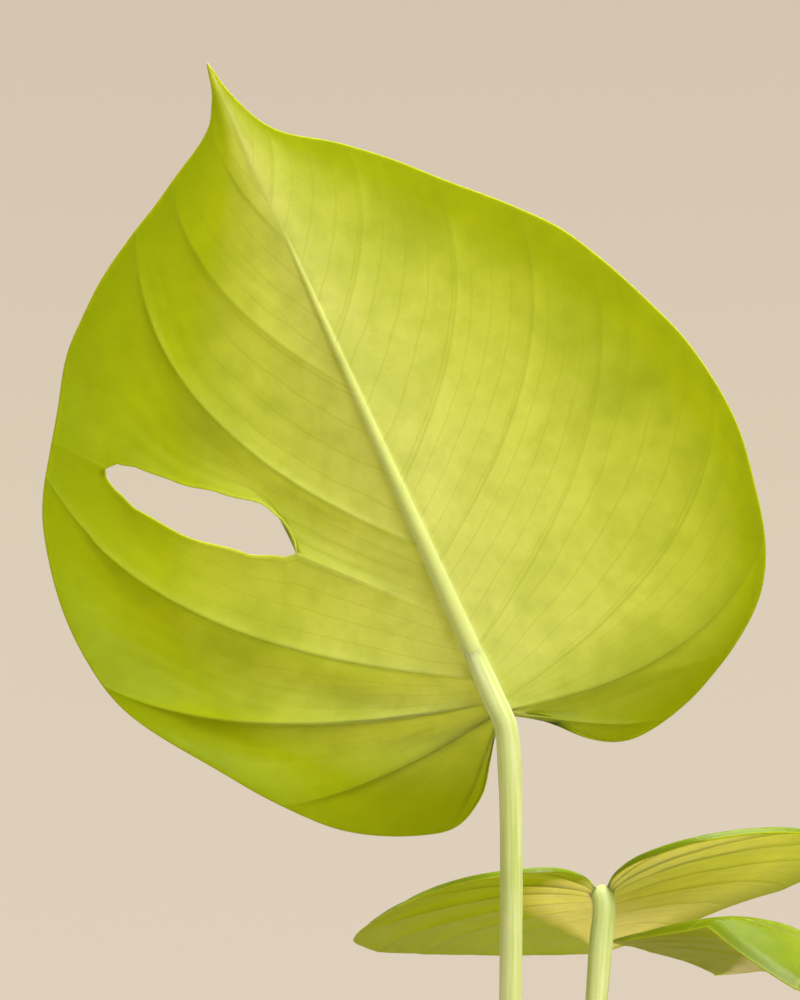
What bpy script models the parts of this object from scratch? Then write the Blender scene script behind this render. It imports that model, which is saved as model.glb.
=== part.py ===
"""A young potted monstera: two short shoots of heart-shaped leaves, the largest with a slot, in a clay pot."""

import math

import bmesh
import bpy
from mathutils import Matrix, Vector

# Everything is in metres. The origin is the centre of the pot's underside, and +Z is up.
CLEARANCE = 0.0003  # between pieces that touch on the real plant
TINY = 1e-6
SHARP_ANGLE = math.radians(40)  # edges sharper than this stay sharp in the shading

# Pot
POT_HEIGHT = 0.122
POT_RIM_RADIUS = 0.071
POT_BASE_RADIUS = 0.047
POT_WALL = 0.0060
POT_FLOOR = 0.0090
POT_EDGE_ROUND = 0.0018
COLLAR_HEIGHT = 0.030
COLLAR_STEP = 0.0035  # how far the collar stands out from the wall below it
COLLAR_TAPER = 0.03  # the collar narrows downward by this slope
COLLAR_UNDERCUT = 0.0004  # its lower face rises this much toward its edge
DRAIN_RADIUS = 0.0050
DRAIN_RING_RADIUS = 0.024
DRAIN_COUNT = 4
ROUND_SEGMENTS = 48
HOLE_SEGMENTS = 16
CUTTER_EXCESS = 0.01  # a cutter reaches this far past the faces that it opens

# Soil
SOIL_BELOW_RIM = 0.013
SOIL_CROWN = 0.003  # the middle stands this much over the soil's edge
SOIL_SIDE_GAP = CLEARANCE * 1.2  # measured level, to the pot's sloping wall
SOIL_DOME = ((0.8, 0.45), (0.5, 0.12))  # share of the radius, and share of the crown still missing there

# Stems: where each one leaves the soil, how tall it stands over it, and how it leans (x and y at the top)
STEM_RADIUS = 0.0045
STEM_TAPER = 0.85  # top radius as a share of the base radius
STEM_PLANTING_DEPTH = 0.022
STEMS = {
    "stem_1": {"foot": (-0.0045, 0.004), "height": 0.050, "lean": (-0.002, 0.001)},
    "stem_2": {"foot": (0.021, 0.012), "height": 0.036, "lean": (0.003, 0.002)},
}

# Rolled new leaves, each standing on the top of its stem
SPEARS = {
    "spear_1": {"stem": "stem_1", "length": 0.085, "radius": 0.0030, "lean": (0.004, 0.016)},
    "spear_2": {"stem": "stem_2", "length": 0.048, "radius": 0.0024, "lean": (0.006, -0.004)},
}
SPEAR_TAPER = (  # share of the length, and the radius there as a share of the widest
    (0.0, 0.75), (0.15, 0.95), (0.35, 1.0), (0.55, 0.9), (0.75, 0.65), (0.9, 0.35), (1.0, 0.08),
)

# Leaf stalks
PETIOLE_RADIUS = 0.0025
PETIOLE_FOOT_WIDENING = 1.25  # foot radius as a share of the radius at the leaf
PETIOLE_FOOT_SHARE = 0.5  # the stalk is wider than that over this share of its length
PETIOLE_RISE = 0.42  # how long the stalk keeps its first direction, as a share of its reach
PETIOLE_POINTS = 18

# Leaf blades
BLADE_THICKNESS = 0.0008
MIDRIB_DEPTH = 0.0022  # how far the midrib stands out of the underside at the stalk
BLADE_ROWS = 18
ROW_CROWDING = 0.35  # rows are this much closer together at the notch and at the tip
BLADE_COLUMNS = (0.0, 0.045, 0.15, 0.345, 0.43, 0.56, 0.70, 0.845, 1.0)

# Half outlines, from the notch at the stalk round the lobe to the tip: (share of half width, share of length)
BROAD_HALF = (
    (0.02, -0.01), (0.08, -0.055), (0.16, -0.105), (0.30, -0.125), (0.56, -0.055), (0.80, 0.09), (0.97, 0.23),
    (1.01, 0.37), (0.96, 0.50), (0.84, 0.60), (0.66, 0.73), (0.38, 0.83), (0.11, 0.90), (0.03, 0.95),
    (0.0, 1.0),
)
ROUND_HALF = (
    (0.02, -0.01), (0.12, -0.03), (0.22, -0.09), (0.36, -0.115), (0.60, -0.085), (0.88, 0.01), (1.00, 0.19),
    (0.97, 0.36), (0.80, 0.56), (0.52, 0.71), (0.28, 0.815), (0.10, 0.88), (0.03, 0.94), (0.0, 1.0),
)
PLAIN_HALF = (
    (0.02, -0.01), (0.07, -0.07), (0.20, -0.14), (0.42, -0.16), (0.74, -0.08), (0.95, 0.10), (1.00, 0.28),
    (0.90, 0.47), (0.68, 0.65), (0.38, 0.81), (0.12, 0.91), (0.03, 0.96), (0.0, 1.0),
)
FAN_SHARE = 0.40  # side veins that end before this share of the margin all start at the stalk
FAN_POWER = 2.2  # how the others spread along the midrib
NOTCH_SHARE = 0.17  # this share of the margin borders the notch
VEIN_BOW = 0.12  # how far a side vein bows out, as a share of its length
VEIN_BEND = 0.65  # the share of its length where it bends most
FOLD_EASE = 0.45  # the fold beside the midrib is this much flatter at the margin
FUNNEL_REACH = 0.012  # how far from the stalk the funnel between the lobes is formed
LOBE_FROM = math.radians(100)  # the lobes fold up beyond this angle from the tip's direction

# The slot between two side veins of the large leaf
SLOT = {
    "margin_share": 0.645,  # where the line of the slot would meet the margin
    "start": 0.33,  # along that line, as shares of its length
    "end": 0.83,
    "half_width": 0.0064,
    "round_off": (0.42, 0.8),  # how bluntly it ends toward the midrib and toward the margin, 0.5 being round
    "spread": 0.026,  # the blade beside it is pushed aside over this distance
    "bow": 0.01,  # the slot's own line bows out by this share of its length, in place of VEIN_BOW
    "bow_reach": 0.10,  # over this share of the margin to either side
}

# Leaves. "stalk_at" is where stalk and blade meet: x, y and the height over the soil. "tip" points along the
# midrib, "face" out of the upper side. "halves" are the outline and width of the halves at +X and -X of the
# blade's own frame. "fold" lifts each half beside the midrib as a slope, "cup" curls its outer part up (down
# where negative), "lobe" folds its lobe up as a slope, "arch" bends the midrib down in degrees, and "funnel"
# sinks the stalk's end between the two lobes, in metres. The stalk leaves its stem at the height "node", at
# "side" degrees from +X, and leans out by the slope "splay". It turns into the blade over the length "neck",
# in the direction "arrive".
LEAVES = {
    "leaf_1": {
        "stalk_at": (-0.0154, 0.0, 0.261), "tip": (-0.411, 0.0, 0.911), "face": (0.0, 1.0, 0.0),
        "length": 0.158, "halves": ((BROAD_HALF, 0.078), (ROUND_HALF, 0.073)), "slot": SLOT,
        "fold": (0.16, 0.12), "cup": (-0.10, -0.06), "lobe": (0.30, 0.30), "arch": -8, "funnel": 0.003,
        "stem": "stem_1", "node": 0.044, "side": 183, "splay": 0.02, "neck": 0.012,
        "arrive": (-0.30, 0.03, 0.95),
    },
    "leaf_2": {
        "stalk_at": (0.0080, 0.022, 0.219), "tip": (0.03, 0.98, -0.19), "face": (-0.13, 0.20, 0.97),
        "length": 0.104, "halves": ((PLAIN_HALF, 0.062), (PLAIN_HALF, 0.057)), "slot": None,
        "fold": (0.14, 0.04), "cup": (-0.02, -0.06), "lobe": (0.0, 0.0), "arch": 4, "funnel": 0.008,
        "stem": "stem_1", "node": 0.026, "side": 12, "splay": 0.0, "neck": 0.050,
        "arrive": (0.10, 0.12, 0.98),
    },
    "leaf_3": {
        "stalk_at": (0.0630, 0.016, 0.203), "tip": (-0.27, 0.96, -0.06), "face": (0.02, 0.10, 0.99),
        "length": 0.090, "halves": ((PLAIN_HALF, 0.047), (PLAIN_HALF, 0.047)), "slot": None,
        "fold": (0.12, 0.10), "cup": (0.0, -0.04), "lobe": (0.0, 0.0), "arch": 6, "funnel": 0.012,
        "stem": "stem_2", "node": 0.030, "side": 20, "splay": 0.14, "neck": 0.050,
        "arrive": (0.20, 0.12, 0.97),
    },
    "leaf_4": {
        "stalk_at": (-0.060, -0.046, 0.139), "tip": (-0.72, -0.52, -0.46), "face": (-0.40, -0.22, 0.89),
        "length": 0.108, "halves": ((PLAIN_HALF, 0.056), (PLAIN_HALF, 0.054)), "slot": None,
        "fold": (0.12, 0.10), "cup": (-0.06, -0.06), "lobe": (0.0, 0.0), "arch": 26, "funnel": 0.006,
        "stem": "stem_1", "node": 0.014, "side": 215, "splay": 0.16, "neck": 0.035,
        "arrive": (-0.56, -0.46, 0.62),
    },
    "leaf_5": {
        "stalk_at": (0.046, -0.060, 0.131), "tip": (0.42, -0.80, -0.43), "face": (0.20, -0.40, 0.89),
        "length": 0.100, "halves": ((PLAIN_HALF, 0.051), (PLAIN_HALF, 0.053)), "slot": None,
        "fold": (0.12, 0.14), "cup": (-0.06, -0.06), "lobe": (0.0, 0.0), "arch": 24, "funnel": 0.006,
        "stem": "stem_2", "node": 0.018, "side": 290, "splay": 0.16, "neck": 0.035,
        "arrive": (0.28, -0.66, 0.66),
    },
    "leaf_6": {
        "stalk_at": (-0.030, 0.082, 0.147), "tip": (-0.36, 0.82, -0.44), "face": (-0.18, 0.42, 0.89),
        "length": 0.112, "halves": ((PLAIN_HALF, 0.058), (PLAIN_HALF, 0.056)), "slot": None,
        "fold": (0.10, 0.12), "cup": (-0.05, -0.05), "lobe": (0.0, 0.0), "arch": 24, "funnel": 0.006,
        "stem": "stem_1", "node": 0.032, "side": 110, "splay": 0.16, "neck": 0.035,
        "arrive": (-0.26, 0.68, 0.66),
    },
    "leaf_7": {
        "stalk_at": (0.078, 0.058, 0.113), "tip": (0.76, 0.48, -0.43), "face": (0.38, 0.20, 0.90),
        "length": 0.096, "halves": ((PLAIN_HALF, 0.050), (PLAIN_HALF, 0.048)), "slot": None,
        "fold": (0.10, 0.10), "cup": (-0.05, -0.05), "lobe": (0.0, 0.0), "arch": 22, "funnel": 0.006,
        "stem": "stem_2", "node": 0.010, "side": 82, "splay": 0.16, "neck": 0.035,
        "arrive": (0.62, 0.42, 0.62),
    },
}

# Finishes: colour, roughness
FINISHES = {
    "terracotta": ((0.50, 0.22, 0.12), 0.85),
    "potting_soil": ((0.06, 0.04, 0.025), 0.95),
    "stem_green": ((0.30, 0.42, 0.10), 0.50),
    "leaf_green": ((0.36, 0.45, 0.03), 0.42),
    "petiole_green": ((0.50, 0.62, 0.16), 0.38),
}


def clear_scene():
    for obj in list(bpy.data.objects):
        bpy.data.objects.remove(obj)


def finish_of(name):
    """The material of this name, made on first use."""
    material = bpy.data.materials.get(name)
    if material:
        return material
    colour, roughness = FINISHES[name]
    material = bpy.data.materials.new(name)
    material.use_nodes = True
    shader = material.node_tree.nodes["Principled BSDF"]
    shader.inputs["Base Color"].default_value = (*colour, 1.0)
    shader.inputs["Roughness"].default_value = roughness
    shader.inputs["Metallic"].default_value = 0.0
    return material


def add_object(name, data, finish):
    obj = bpy.data.objects.new(name, data)
    bpy.context.scene.collection.objects.link(obj)
    data.materials.append(finish_of(finish))
    return obj


def smooth_line(points, per_span=8):
    """Points along a smooth curve that passes through each given point."""
    points = [Vector(point) for point in points]
    ends = [2 * points[0] - points[1]] + points + [2 * points[-1] - points[-2]]
    line = []
    for before, start, end, after in zip(ends, ends[1:], ends[2:], ends[3:]):
        for step in range(per_span):
            t = step / per_span
            slope_in = (end - before) / 2
            slope_out = (after - start) / 2
            line.append(
                start * (2 * t**3 - 3 * t**2 + 1)
                + slope_in * (t**3 - 2 * t**2 + t)
                + end * (3 * t**2 - 2 * t**3)
                + slope_out * (t**3 - t**2)
            )
    return line + [points[-1]]


def point_along(line, share):
    """The point at this share of the line's length."""
    lengths = [(b - a).length for a, b in zip(line, line[1:])]
    left = share * sum(lengths)
    for start, end, length in zip(line, line[1:], lengths):
        if left <= length:
            return start.lerp(end, left / length)
        left -= length
    return line[-1].copy()


def bezier(start, start_handle, end_handle, end, t):
    s = 1 - t
    return start * s**3 + start_handle * 3 * s**2 * t + end_handle * 3 * s * t**2 + end * t**3


def soil_top():
    return POT_HEIGHT - SOIL_BELOW_RIM


# Blades. In a blade's own frame the stalk is at the origin, +Y runs to the tip and +Z out of the upper face.


def half_outline(leaf, side):
    """The margin of one half, from the notch to the tip. Side 0 is the half at +X, side 1 the one at -X."""
    shape, half_width = leaf["halves"][side]
    sign = 1 - 2 * side
    return smooth_line([(sign * x * half_width, y * leaf["length"]) for x, y in shape])


def row_shares(slot):
    """Where each row of the grid meets the margin, as shares of its length, and the slot's own row."""
    shares = []
    for row in range(1, BLADE_ROWS + 1):
        even = row / BLADE_ROWS
        shares.append(even - ROW_CROWDING * math.sin(2 * math.pi * even) / (2 * math.pi))
    if not slot:
        return shares, None
    slot_row = min(range(BLADE_ROWS), key=lambda row: abs(shares[row] - slot["margin_share"]))
    shares[slot_row] = slot["margin_share"]
    return shares, slot_row


def midrib_share(margin_share):
    """Where on the midrib the side vein starts that ends at this share of the margin."""
    return max(0.0, (margin_share - FAN_SHARE) / (1 - FAN_SHARE)) ** FAN_POWER


def vein_point(leaf, side, margin, margin_share, along):
    """A point of the side vein that ends at this share of the margin, in the flat blade."""
    start = Vector((0.0, midrib_share(margin_share) * leaf["length"]))
    end = point_along(margin, margin_share)
    chord = end - start
    sign = 1 - 2 * side
    outward = Vector((chord.y, -chord.x)) * sign
    bow = VEIN_BOW
    slot = leaf["slot"]
    if slot and side == 0:
        nearness = max(0.0, 1 - abs(margin_share - slot["margin_share"]) / slot["bow_reach"])
        bow += (slot["bow"] - VEIN_BOW) * nearness
    handle = start + chord * VEIN_BEND + outward * 2 * bow
    bowed = start * (1 - along) ** 2 + handle * 2 * along * (1 - along) + end * along**2
    # Beside the notch the veins come to run along the margin itself.
    beside_notch = max(0.0, 1 - margin_share / NOTCH_SHARE)
    return bowed.lerp(point_along(margin, margin_share * along), beside_notch)


def push_aside(leaf, side, margin, point, along, above):
    """Moves a point of the flat blade away from the line of the slot, so that the slot opens."""
    slot = leaf["slot"]
    share = (along - slot["start"]) / (slot["end"] - slot["start"])
    if not 0 < share < 1:
        return point
    near, far = slot["round_off"]
    widest = near / (near + far)
    peak = widest**near * (1 - widest) ** far
    half_width = slot["half_width"] * share**near * (1 - share) ** far / peak
    centre = vein_point(leaf, side, margin, slot["margin_share"], along)
    ahead = vein_point(leaf, side, margin, slot["margin_share"], along + 0.01)
    line = (ahead - centre).normalized()
    across = Vector((-line.y, line.x))
    if across.y < 0:
        across = -across
    left = max(0.0, 1 - (point - centre).length / slot["spread"])
    return point + across * (half_width * left**2 * (1 if above else -1))


def lift(leaf, side, point):
    """The blade's own form: the flat point moved to where it is on the folded, cupped and arched blade."""
    length = leaf["length"]
    half_width = leaf["halves"][side][1]
    across = abs(point.x) / half_width
    rise = abs(point.x) * leaf["fold"][side] * (1 - FOLD_EASE * across)
    rise += leaf["cup"][side] * half_width * across**2
    distance = point.length
    if distance > TINY:
        toward_notch = (1 - point.y / distance) / 2
        rise += leaf["funnel"] * toward_notch * (1 - math.exp(-distance / FUNNEL_REACH))
        around = math.atan2(abs(point.x), point.y)
        behind = max(0.0, (around - LOBE_FROM) / (math.pi - LOBE_FROM))
        rise += leaf["lobe"][side] * distance * behind
    bend = math.radians(leaf["arch"]) * max(0.0, point.y) / length
    half_bend = bend / 2
    y = point.y * math.cos(half_bend)
    z = -point.y * math.sin(half_bend)
    return Vector((point.x, y + rise * math.sin(bend), z + rise * math.cos(bend)))


def blade_surface(leaf):
    """The middle surface of the blade as a mesh, and how far the midrib deepens each of its points."""
    surface = bmesh.new()
    depth = surface.verts.layers.float.new("midrib")
    found = {}
    shares, slot_row = row_shares(leaf["slot"])

    def grid_vertex(side, margin, row, column, above):
        """The vertex at this row and column. The slot's row has two, for the blade above it and below it."""
        along = BLADE_COLUMNS[column]
        slotted = side == 0 and slot_row is not None
        if row == BLADE_ROWS - 1:
            key = "tip"
            point = Vector((0.0, leaf["length"]))
        else:
            point = vein_point(leaf, side, margin, shares[row], along)
            key = (side, row, column)
        if column == 0 and key != "tip":
            key = ("midrib", round(midrib_share(shares[row]), 6))
        elif slotted:
            point = push_aside(leaf, side, margin, point, along, above)
            if row == slot_row and leaf["slot"]["start"] < along < leaf["slot"]["end"]:
                key = (side, row, column, above)
        if key not in found:
            found[key] = surface.verts.new(lift(leaf, side, point))
            found[key][depth] = MIDRIB_DEPTH * (1 - midrib_share(shares[row])) if column == 0 else 0.0
        return found[key]

    for side in (0, 1):
        margin = half_outline(leaf, side)
        for row in range(BLADE_ROWS - 1):
            above = slot_row is not None and row >= slot_row
            for column in range(len(BLADE_COLUMNS) - 1):
                places = ((row, column), (row, column + 1), (row + 1, column + 1), (row + 1, column))
                corners = [grid_vertex(side, margin, *place, above) for place in places]
                corners = list(dict.fromkeys(corners))
                if side == 1:
                    corners.reverse()
                if len(corners) > 2:
                    surface.faces.new(corners)
    return surface, depth


def thicken(surface, depth, thickness):
    """Turns a surface into a closed shell, deeper below where the midrib runs."""
    surface.normal_update()
    upper = {}
    lower = {}
    points = list(surface.verts)
    normals = {vert: vert.normal.copy() for vert in points}
    boundary = []
    for edge in surface.edges:
        if edge.is_boundary:
            loop = edge.link_loops[0]
            boundary.append((loop.vert, loop.link_loop_next.vert))
    faces = [list(face.verts) for face in surface.faces]
    shell = bmesh.new()
    for vert in points:
        upper[vert] = shell.verts.new(vert.co + normals[vert] * thickness / 2)
        lower[vert] = shell.verts.new(vert.co - normals[vert] * (thickness / 2 + vert[depth]))
    for corners in faces:
        shell.faces.new([upper[vert] for vert in corners])
        shell.faces.new([lower[vert] for vert in reversed(corners)])
    for start, end in boundary:
        shell.faces.new([upper[end], upper[start], lower[start], lower[end]])
    return shell


def blade_frame(leaf):
    """The matrix that takes the blade's own frame to its place on the plant."""
    tip = Vector(leaf["tip"]).normalized()
    face = Vector(leaf["face"])
    face = (face - tip * face.dot(tip)).normalized()
    across = tip.cross(face)
    frame = Matrix((across, tip, face)).transposed().to_4x4()
    x, y, height = leaf["stalk_at"]
    frame.translation = Vector((x, y, soil_top() + height))
    return frame


def add_blade(name, leaf):
    surface, depth = blade_surface(leaf)
    shell = thicken(surface, depth, BLADE_THICKNESS)
    surface.free()
    mesh = bpy.data.meshes.new(name)
    bmesh.ops.triangulate(shell, faces=shell.faces)
    shell.to_mesh(mesh)
    shell.free()
    mesh.shade_smooth()
    mesh.set_sharp_from_angle(angle=SHARP_ANGLE)
    obj = add_object(name, mesh, "leaf_green")
    obj.matrix_world = blade_frame(leaf)
    return obj


# Stems, spears and stalks


def stem_axis(stem, height):
    """The point on a stem's axis at this height over the soil, and the stem's radius there."""
    share = height / stem["height"]
    lean = Vector((*stem["lean"], 0.0)) * max(0.0, share)
    centre = Vector((*stem["foot"], soil_top() + height)) + lean
    return centre, STEM_RADIUS * (1 + (STEM_TAPER - 1) * max(0.0, share))


def add_tube(name, points, radii, finish):
    """A round tube through these points, with its ends closed."""
    curve = bpy.data.curves.new(name, "CURVE")
    curve.dimensions = "3D"
    curve.bevel_depth = 1.0
    curve.bevel_resolution = 2
    curve.use_fill_caps = True
    spline = curve.splines.new("POLY")
    spline.points.add(len(points) - 1)
    for slot, point, radius in zip(spline.points, points, radii):
        slot.co = (*point, 1.0)
        slot.radius = radius
    spline.use_smooth = True
    return add_object(name, curve, finish)


def add_stem(name, stem):
    heights = [-STEM_PLANTING_DEPTH, 0.0, stem["height"] * 0.5, stem["height"]]
    levels = [stem_axis(stem, height) for height in heights]
    return add_tube(name, [centre for centre, _ in levels], [radius for _, radius in levels], "stem_green")


def add_spear(name, spear):
    top, _ = stem_axis(STEMS[spear["stem"]], STEMS[spear["stem"]]["height"])
    foot = top + Vector((0.0, 0.0, CLEARANCE))
    points = []
    for share, _ in SPEAR_TAPER:
        lean = Vector((*spear["lean"], 0.0)) * share**2
        points.append(foot + Vector((0.0, 0.0, spear["length"] * share)) + lean)
    return add_tube(name, points, [spear["radius"] * width for _, width in SPEAR_TAPER], "petiole_green")


def stalk_end(leaf, arrive):
    """The end of a stalk that comes in this direction: just under its blade, behind the end of its midrib."""
    frame = blade_frame(leaf)
    face = frame.col[2].to_3d()
    # The stalk's end is a disc, and this is how far it reaches toward the blade.
    reach = PETIOLE_RADIUS * math.sqrt(max(0.0, 1 - arrive.dot(face) ** 2))
    below = BLADE_THICKNESS / 2 + max(reach, MIDRIB_DEPTH) + CLEARANCE
    return frame @ Vector((0.0, -PETIOLE_RADIUS, -below))


def add_stalk(name, leaf):
    stem = STEMS[leaf["stem"]]
    axis, stem_radius = stem_axis(stem, leaf["node"])
    foot_radius = PETIOLE_RADIUS * PETIOLE_FOOT_WIDENING
    side = math.radians(leaf["side"])
    outward = Vector((math.cos(side), math.sin(side), 0.0))
    foot = axis + outward * (stem_radius + foot_radius + CLEARANCE)
    arrive = Vector(leaf["arrive"]).normalized()
    end = stalk_end(leaf, arrive)
    reach = (end - foot).length
    rise = (Vector((0.0, 0.0, 1.0)) + outward * leaf["splay"]).normalized()
    start_handle = foot + rise * reach * PETIOLE_RISE
    end_handle = end - arrive * leaf["neck"]
    points = []
    radii = []
    for step in range(PETIOLE_POINTS):
        t = step / (PETIOLE_POINTS - 1)
        points.append(bezier(foot, start_handle, end_handle, end, t))
        radii.append(foot_radius + (PETIOLE_RADIUS - foot_radius) * min(1.0, t / PETIOLE_FOOT_SHARE))
    return add_tube(name, points, radii, "petiole_green")


# Pot and soil


def turned(name, profile, finish):
    """A body of revolution about Z, from a profile of (radius, height) points that starts and ends on Z."""
    mesh = bpy.data.meshes.new(name)
    shape = bmesh.new()
    rings = []
    for radius, height in profile:
        if radius < TINY:
            rings.append([shape.verts.new((0.0, 0.0, height))] * ROUND_SEGMENTS)
            continue
        ring = []
        for segment in range(ROUND_SEGMENTS):
            angle = 2 * math.pi * segment / ROUND_SEGMENTS
            ring.append(shape.verts.new((radius * math.cos(angle), radius * math.sin(angle), height)))
        rings.append(ring)
    for low, high in zip(rings, rings[1:]):
        for segment in range(ROUND_SEGMENTS):
            following = (segment + 1) % ROUND_SEGMENTS
            corners = [low[segment], low[following], high[following], high[segment]]
            corners = list(dict.fromkeys(corners))
            if len(corners) > 2:
                shape.faces.new(corners)
    bmesh.ops.recalc_face_normals(shape, faces=shape.faces)
    shape.to_mesh(mesh)
    shape.free()
    mesh.shade_smooth()
    mesh.set_sharp_from_angle(angle=SHARP_ANGLE)
    return add_object(name, mesh, finish)


def wall_radius(height):
    """The pot's outer radius below the collar, at this height."""
    top_radius = POT_RIM_RADIUS - COLLAR_STEP
    return POT_BASE_RADIUS + (top_radius - POT_BASE_RADIUS) * height / POT_HEIGHT


def inner_radius(height):
    """The radius of the pot's hollow at this height."""
    return wall_radius(height) - POT_WALL


def add_cutter(name, target, radius, low, high, place):
    """A round hole through a piece, from low to high."""
    shape = bmesh.new()
    bmesh.ops.create_cone(
        shape, cap_ends=True, segments=HOLE_SEGMENTS, radius1=radius, radius2=radius, depth=high - low,
        matrix=Matrix.Translation((place[0], place[1], (low + high) / 2)),
    )
    mesh = bpy.data.meshes.new(name)
    shape.to_mesh(mesh)
    shape.free()
    cutter = bpy.data.objects.new(name, mesh)
    bpy.context.scene.collection.objects.link(cutter)
    cutter.hide_render = True
    cutter.display_type = "WIRE"
    cut = target.modifiers.new(name, "BOOLEAN")
    cut.operation = "DIFFERENCE"
    cut.object = cutter
    cut.solver = "EXACT"


def add_pot():
    collar_foot = POT_HEIGHT - COLLAR_HEIGHT
    collar_foot_radius = POT_RIM_RADIUS - COLLAR_HEIGHT * COLLAR_TAPER
    edge = POT_EDGE_ROUND
    rim_inner = inner_radius(POT_HEIGHT)
    profile = [
        (0.0, 0.0),
        (POT_BASE_RADIUS - edge, 0.0),
        (wall_radius(edge), edge),
        (wall_radius(collar_foot), collar_foot),
        (collar_foot_radius - edge, collar_foot + COLLAR_UNDERCUT),
        (collar_foot_radius, collar_foot + edge),
        (POT_RIM_RADIUS, POT_HEIGHT - edge),
        (POT_RIM_RADIUS - edge, POT_HEIGHT),
        (rim_inner + edge, POT_HEIGHT),
        (rim_inner, POT_HEIGHT - edge),
        (inner_radius(POT_FLOOR + edge), POT_FLOOR + edge),
        (inner_radius(POT_FLOOR) - edge, POT_FLOOR),
        (0.0, POT_FLOOR),
    ]
    pot = turned("pot", profile, "terracotta")
    for hole in range(DRAIN_COUNT):
        angle = 2 * math.pi * (hole + 0.5) / DRAIN_COUNT
        place = (DRAIN_RING_RADIUS * math.cos(angle), DRAIN_RING_RADIUS * math.sin(angle))
        add_cutter(f"drain_{hole + 1}", pot, DRAIN_RADIUS, -CUTTER_EXCESS, POT_FLOOR + CUTTER_EXCESS, place)
    return pot


def add_soil():
    low = POT_FLOOR + CLEARANCE
    top = soil_top()
    edge_height = top - SOIL_CROWN
    round_off = POT_EDGE_ROUND
    profile = [
        (0.0, low),
        (inner_radius(low) - round_off - SOIL_SIDE_GAP, low),
        (inner_radius(low + round_off) - SOIL_SIDE_GAP, low + round_off),
        (inner_radius(edge_height) - SOIL_SIDE_GAP, edge_height),
    ]
    for radius_share, missing in SOIL_DOME:
        profile.append((inner_radius(edge_height) * radius_share, top - SOIL_CROWN * missing))
    profile.append((0.0, top))
    soil = turned("soil", profile, "potting_soil")
    for name, stem in STEMS.items():
        radius = STEM_RADIUS + CLEARANCE
        low_end = top - STEM_PLANTING_DEPTH - CLEARANCE
        add_cutter(f"{name}_socket", soil, radius, low_end, top + CUTTER_EXCESS, stem["foot"])
    return soil


def main():
    clear_scene()
    add_pot()
    add_soil()
    for name, stem in STEMS.items():
        add_stem(name, stem)
    for name, spear in SPEARS.items():
        add_spear(name, spear)
    for name, leaf in LEAVES.items():
        add_stalk(f"{name}_petiole", leaf)
        add_blade(f"{name}_blade", leaf)


main()
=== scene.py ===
import math
from bisect import bisect_left

import bmesh
import bpy
import numpy as np
from mathutils import Matrix, Vector, noise


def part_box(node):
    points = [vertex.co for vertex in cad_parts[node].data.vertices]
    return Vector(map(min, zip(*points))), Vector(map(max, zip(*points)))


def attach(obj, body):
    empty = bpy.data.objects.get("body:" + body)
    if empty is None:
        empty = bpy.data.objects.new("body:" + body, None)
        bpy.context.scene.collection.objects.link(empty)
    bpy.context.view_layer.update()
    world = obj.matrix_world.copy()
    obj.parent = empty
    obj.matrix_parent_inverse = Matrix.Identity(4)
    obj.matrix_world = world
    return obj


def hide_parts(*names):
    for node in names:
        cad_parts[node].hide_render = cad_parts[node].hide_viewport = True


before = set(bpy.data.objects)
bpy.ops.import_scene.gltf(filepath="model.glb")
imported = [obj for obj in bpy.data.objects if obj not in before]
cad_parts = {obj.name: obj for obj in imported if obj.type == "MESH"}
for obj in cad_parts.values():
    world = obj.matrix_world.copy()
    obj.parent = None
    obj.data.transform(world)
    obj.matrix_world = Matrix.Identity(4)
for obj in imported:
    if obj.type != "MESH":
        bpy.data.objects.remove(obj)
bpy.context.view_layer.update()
print("frame loaded:", len(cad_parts), "nodes")

mm = 0.001


# ---- small helpers: colour, nodes, objects

def hexColour(code):
    channels = [int(code[i:i + 2], 16) / 255 for i in (1, 3, 5)]
    return tuple(c / 12.92 if c <= 0.04045 else ((c + 0.055) / 1.055) ** 2.4 for c in channels) + (1.0,)


def addNode(tree, kind, values=None, links=None, stops=None, **settings):
    node = tree.nodes.new(kind)
    for name, value in settings.items():
        setattr(node, name, value)
    for socket, value in (values or {}).items():
        node.inputs[socket].default_value = value
    for socket, source in (links or {}).items():
        tree.links.new(source, node.inputs[socket])
    for index, (place, colour) in enumerate(stops or []):
        marks = node.color_ramp.elements
        mark = marks[index] if index < 2 else marks.new(place)
        mark.position = place
        mark.color = hexColour(colour)
    return node


def newMaterial(name):
    material = bpy.data.materials.new(name)
    material.use_nodes = True
    return material, material.node_tree, material.node_tree.nodes["Principled BSDF"]


def addPiece(mesh, node, smooth=True):
    piece = bpy.data.objects.new(mesh.name, mesh)
    bpy.context.scene.collection.objects.link(piece)
    if smooth:
        mesh.shade_smooth()
    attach(piece, "root")
    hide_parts(node)


# ---- lines

def smoothLine(points, perSpan=8):
    points = [Vector(point) for point in points]
    ends = [2 * points[0] - points[1]] + points + [2 * points[-1] - points[-2]]
    line = []
    for before, start, end, after in zip(ends, ends[1:], ends[2:], ends[3:]):
        for step in range(perSpan):
            t = step / perSpan
            line.append(
                start * (2 * t**3 - 3 * t**2 + 1)
                + (end - before) / 2 * (t**3 - 2 * t**2 + t)
                + end * (3 * t**2 - 2 * t**3)
                + (after - start) / 2 * (t**3 - t**2)
            )
    return line + [points[-1]]


class MeasuredLine:  # a line that is read by its share of length
    def __init__(self, points):
        self.points = points
        self.runs = [0.0]
        for a, b in zip(points, points[1:]):
            self.runs.append(self.runs[-1] + (b - a).length)
        self.length = self.runs[-1]

    def at(self, share):
        place = min(max(share, 0.0), 1.0) * self.length
        index = min(max(bisect_left(self.runs, place), 1), len(self.points) - 1)
        span = self.runs[index] - self.runs[index - 1]
        left = (place - self.runs[index - 1]) / span if span else 0.0
        return self.points[index - 1].lerp(self.points[index], left)


def smoothStep(low, high, value):
    t = min(max((value - low) / (high - low), 0.0), 1.0)
    return t * t * (3 - 2 * t)


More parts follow.
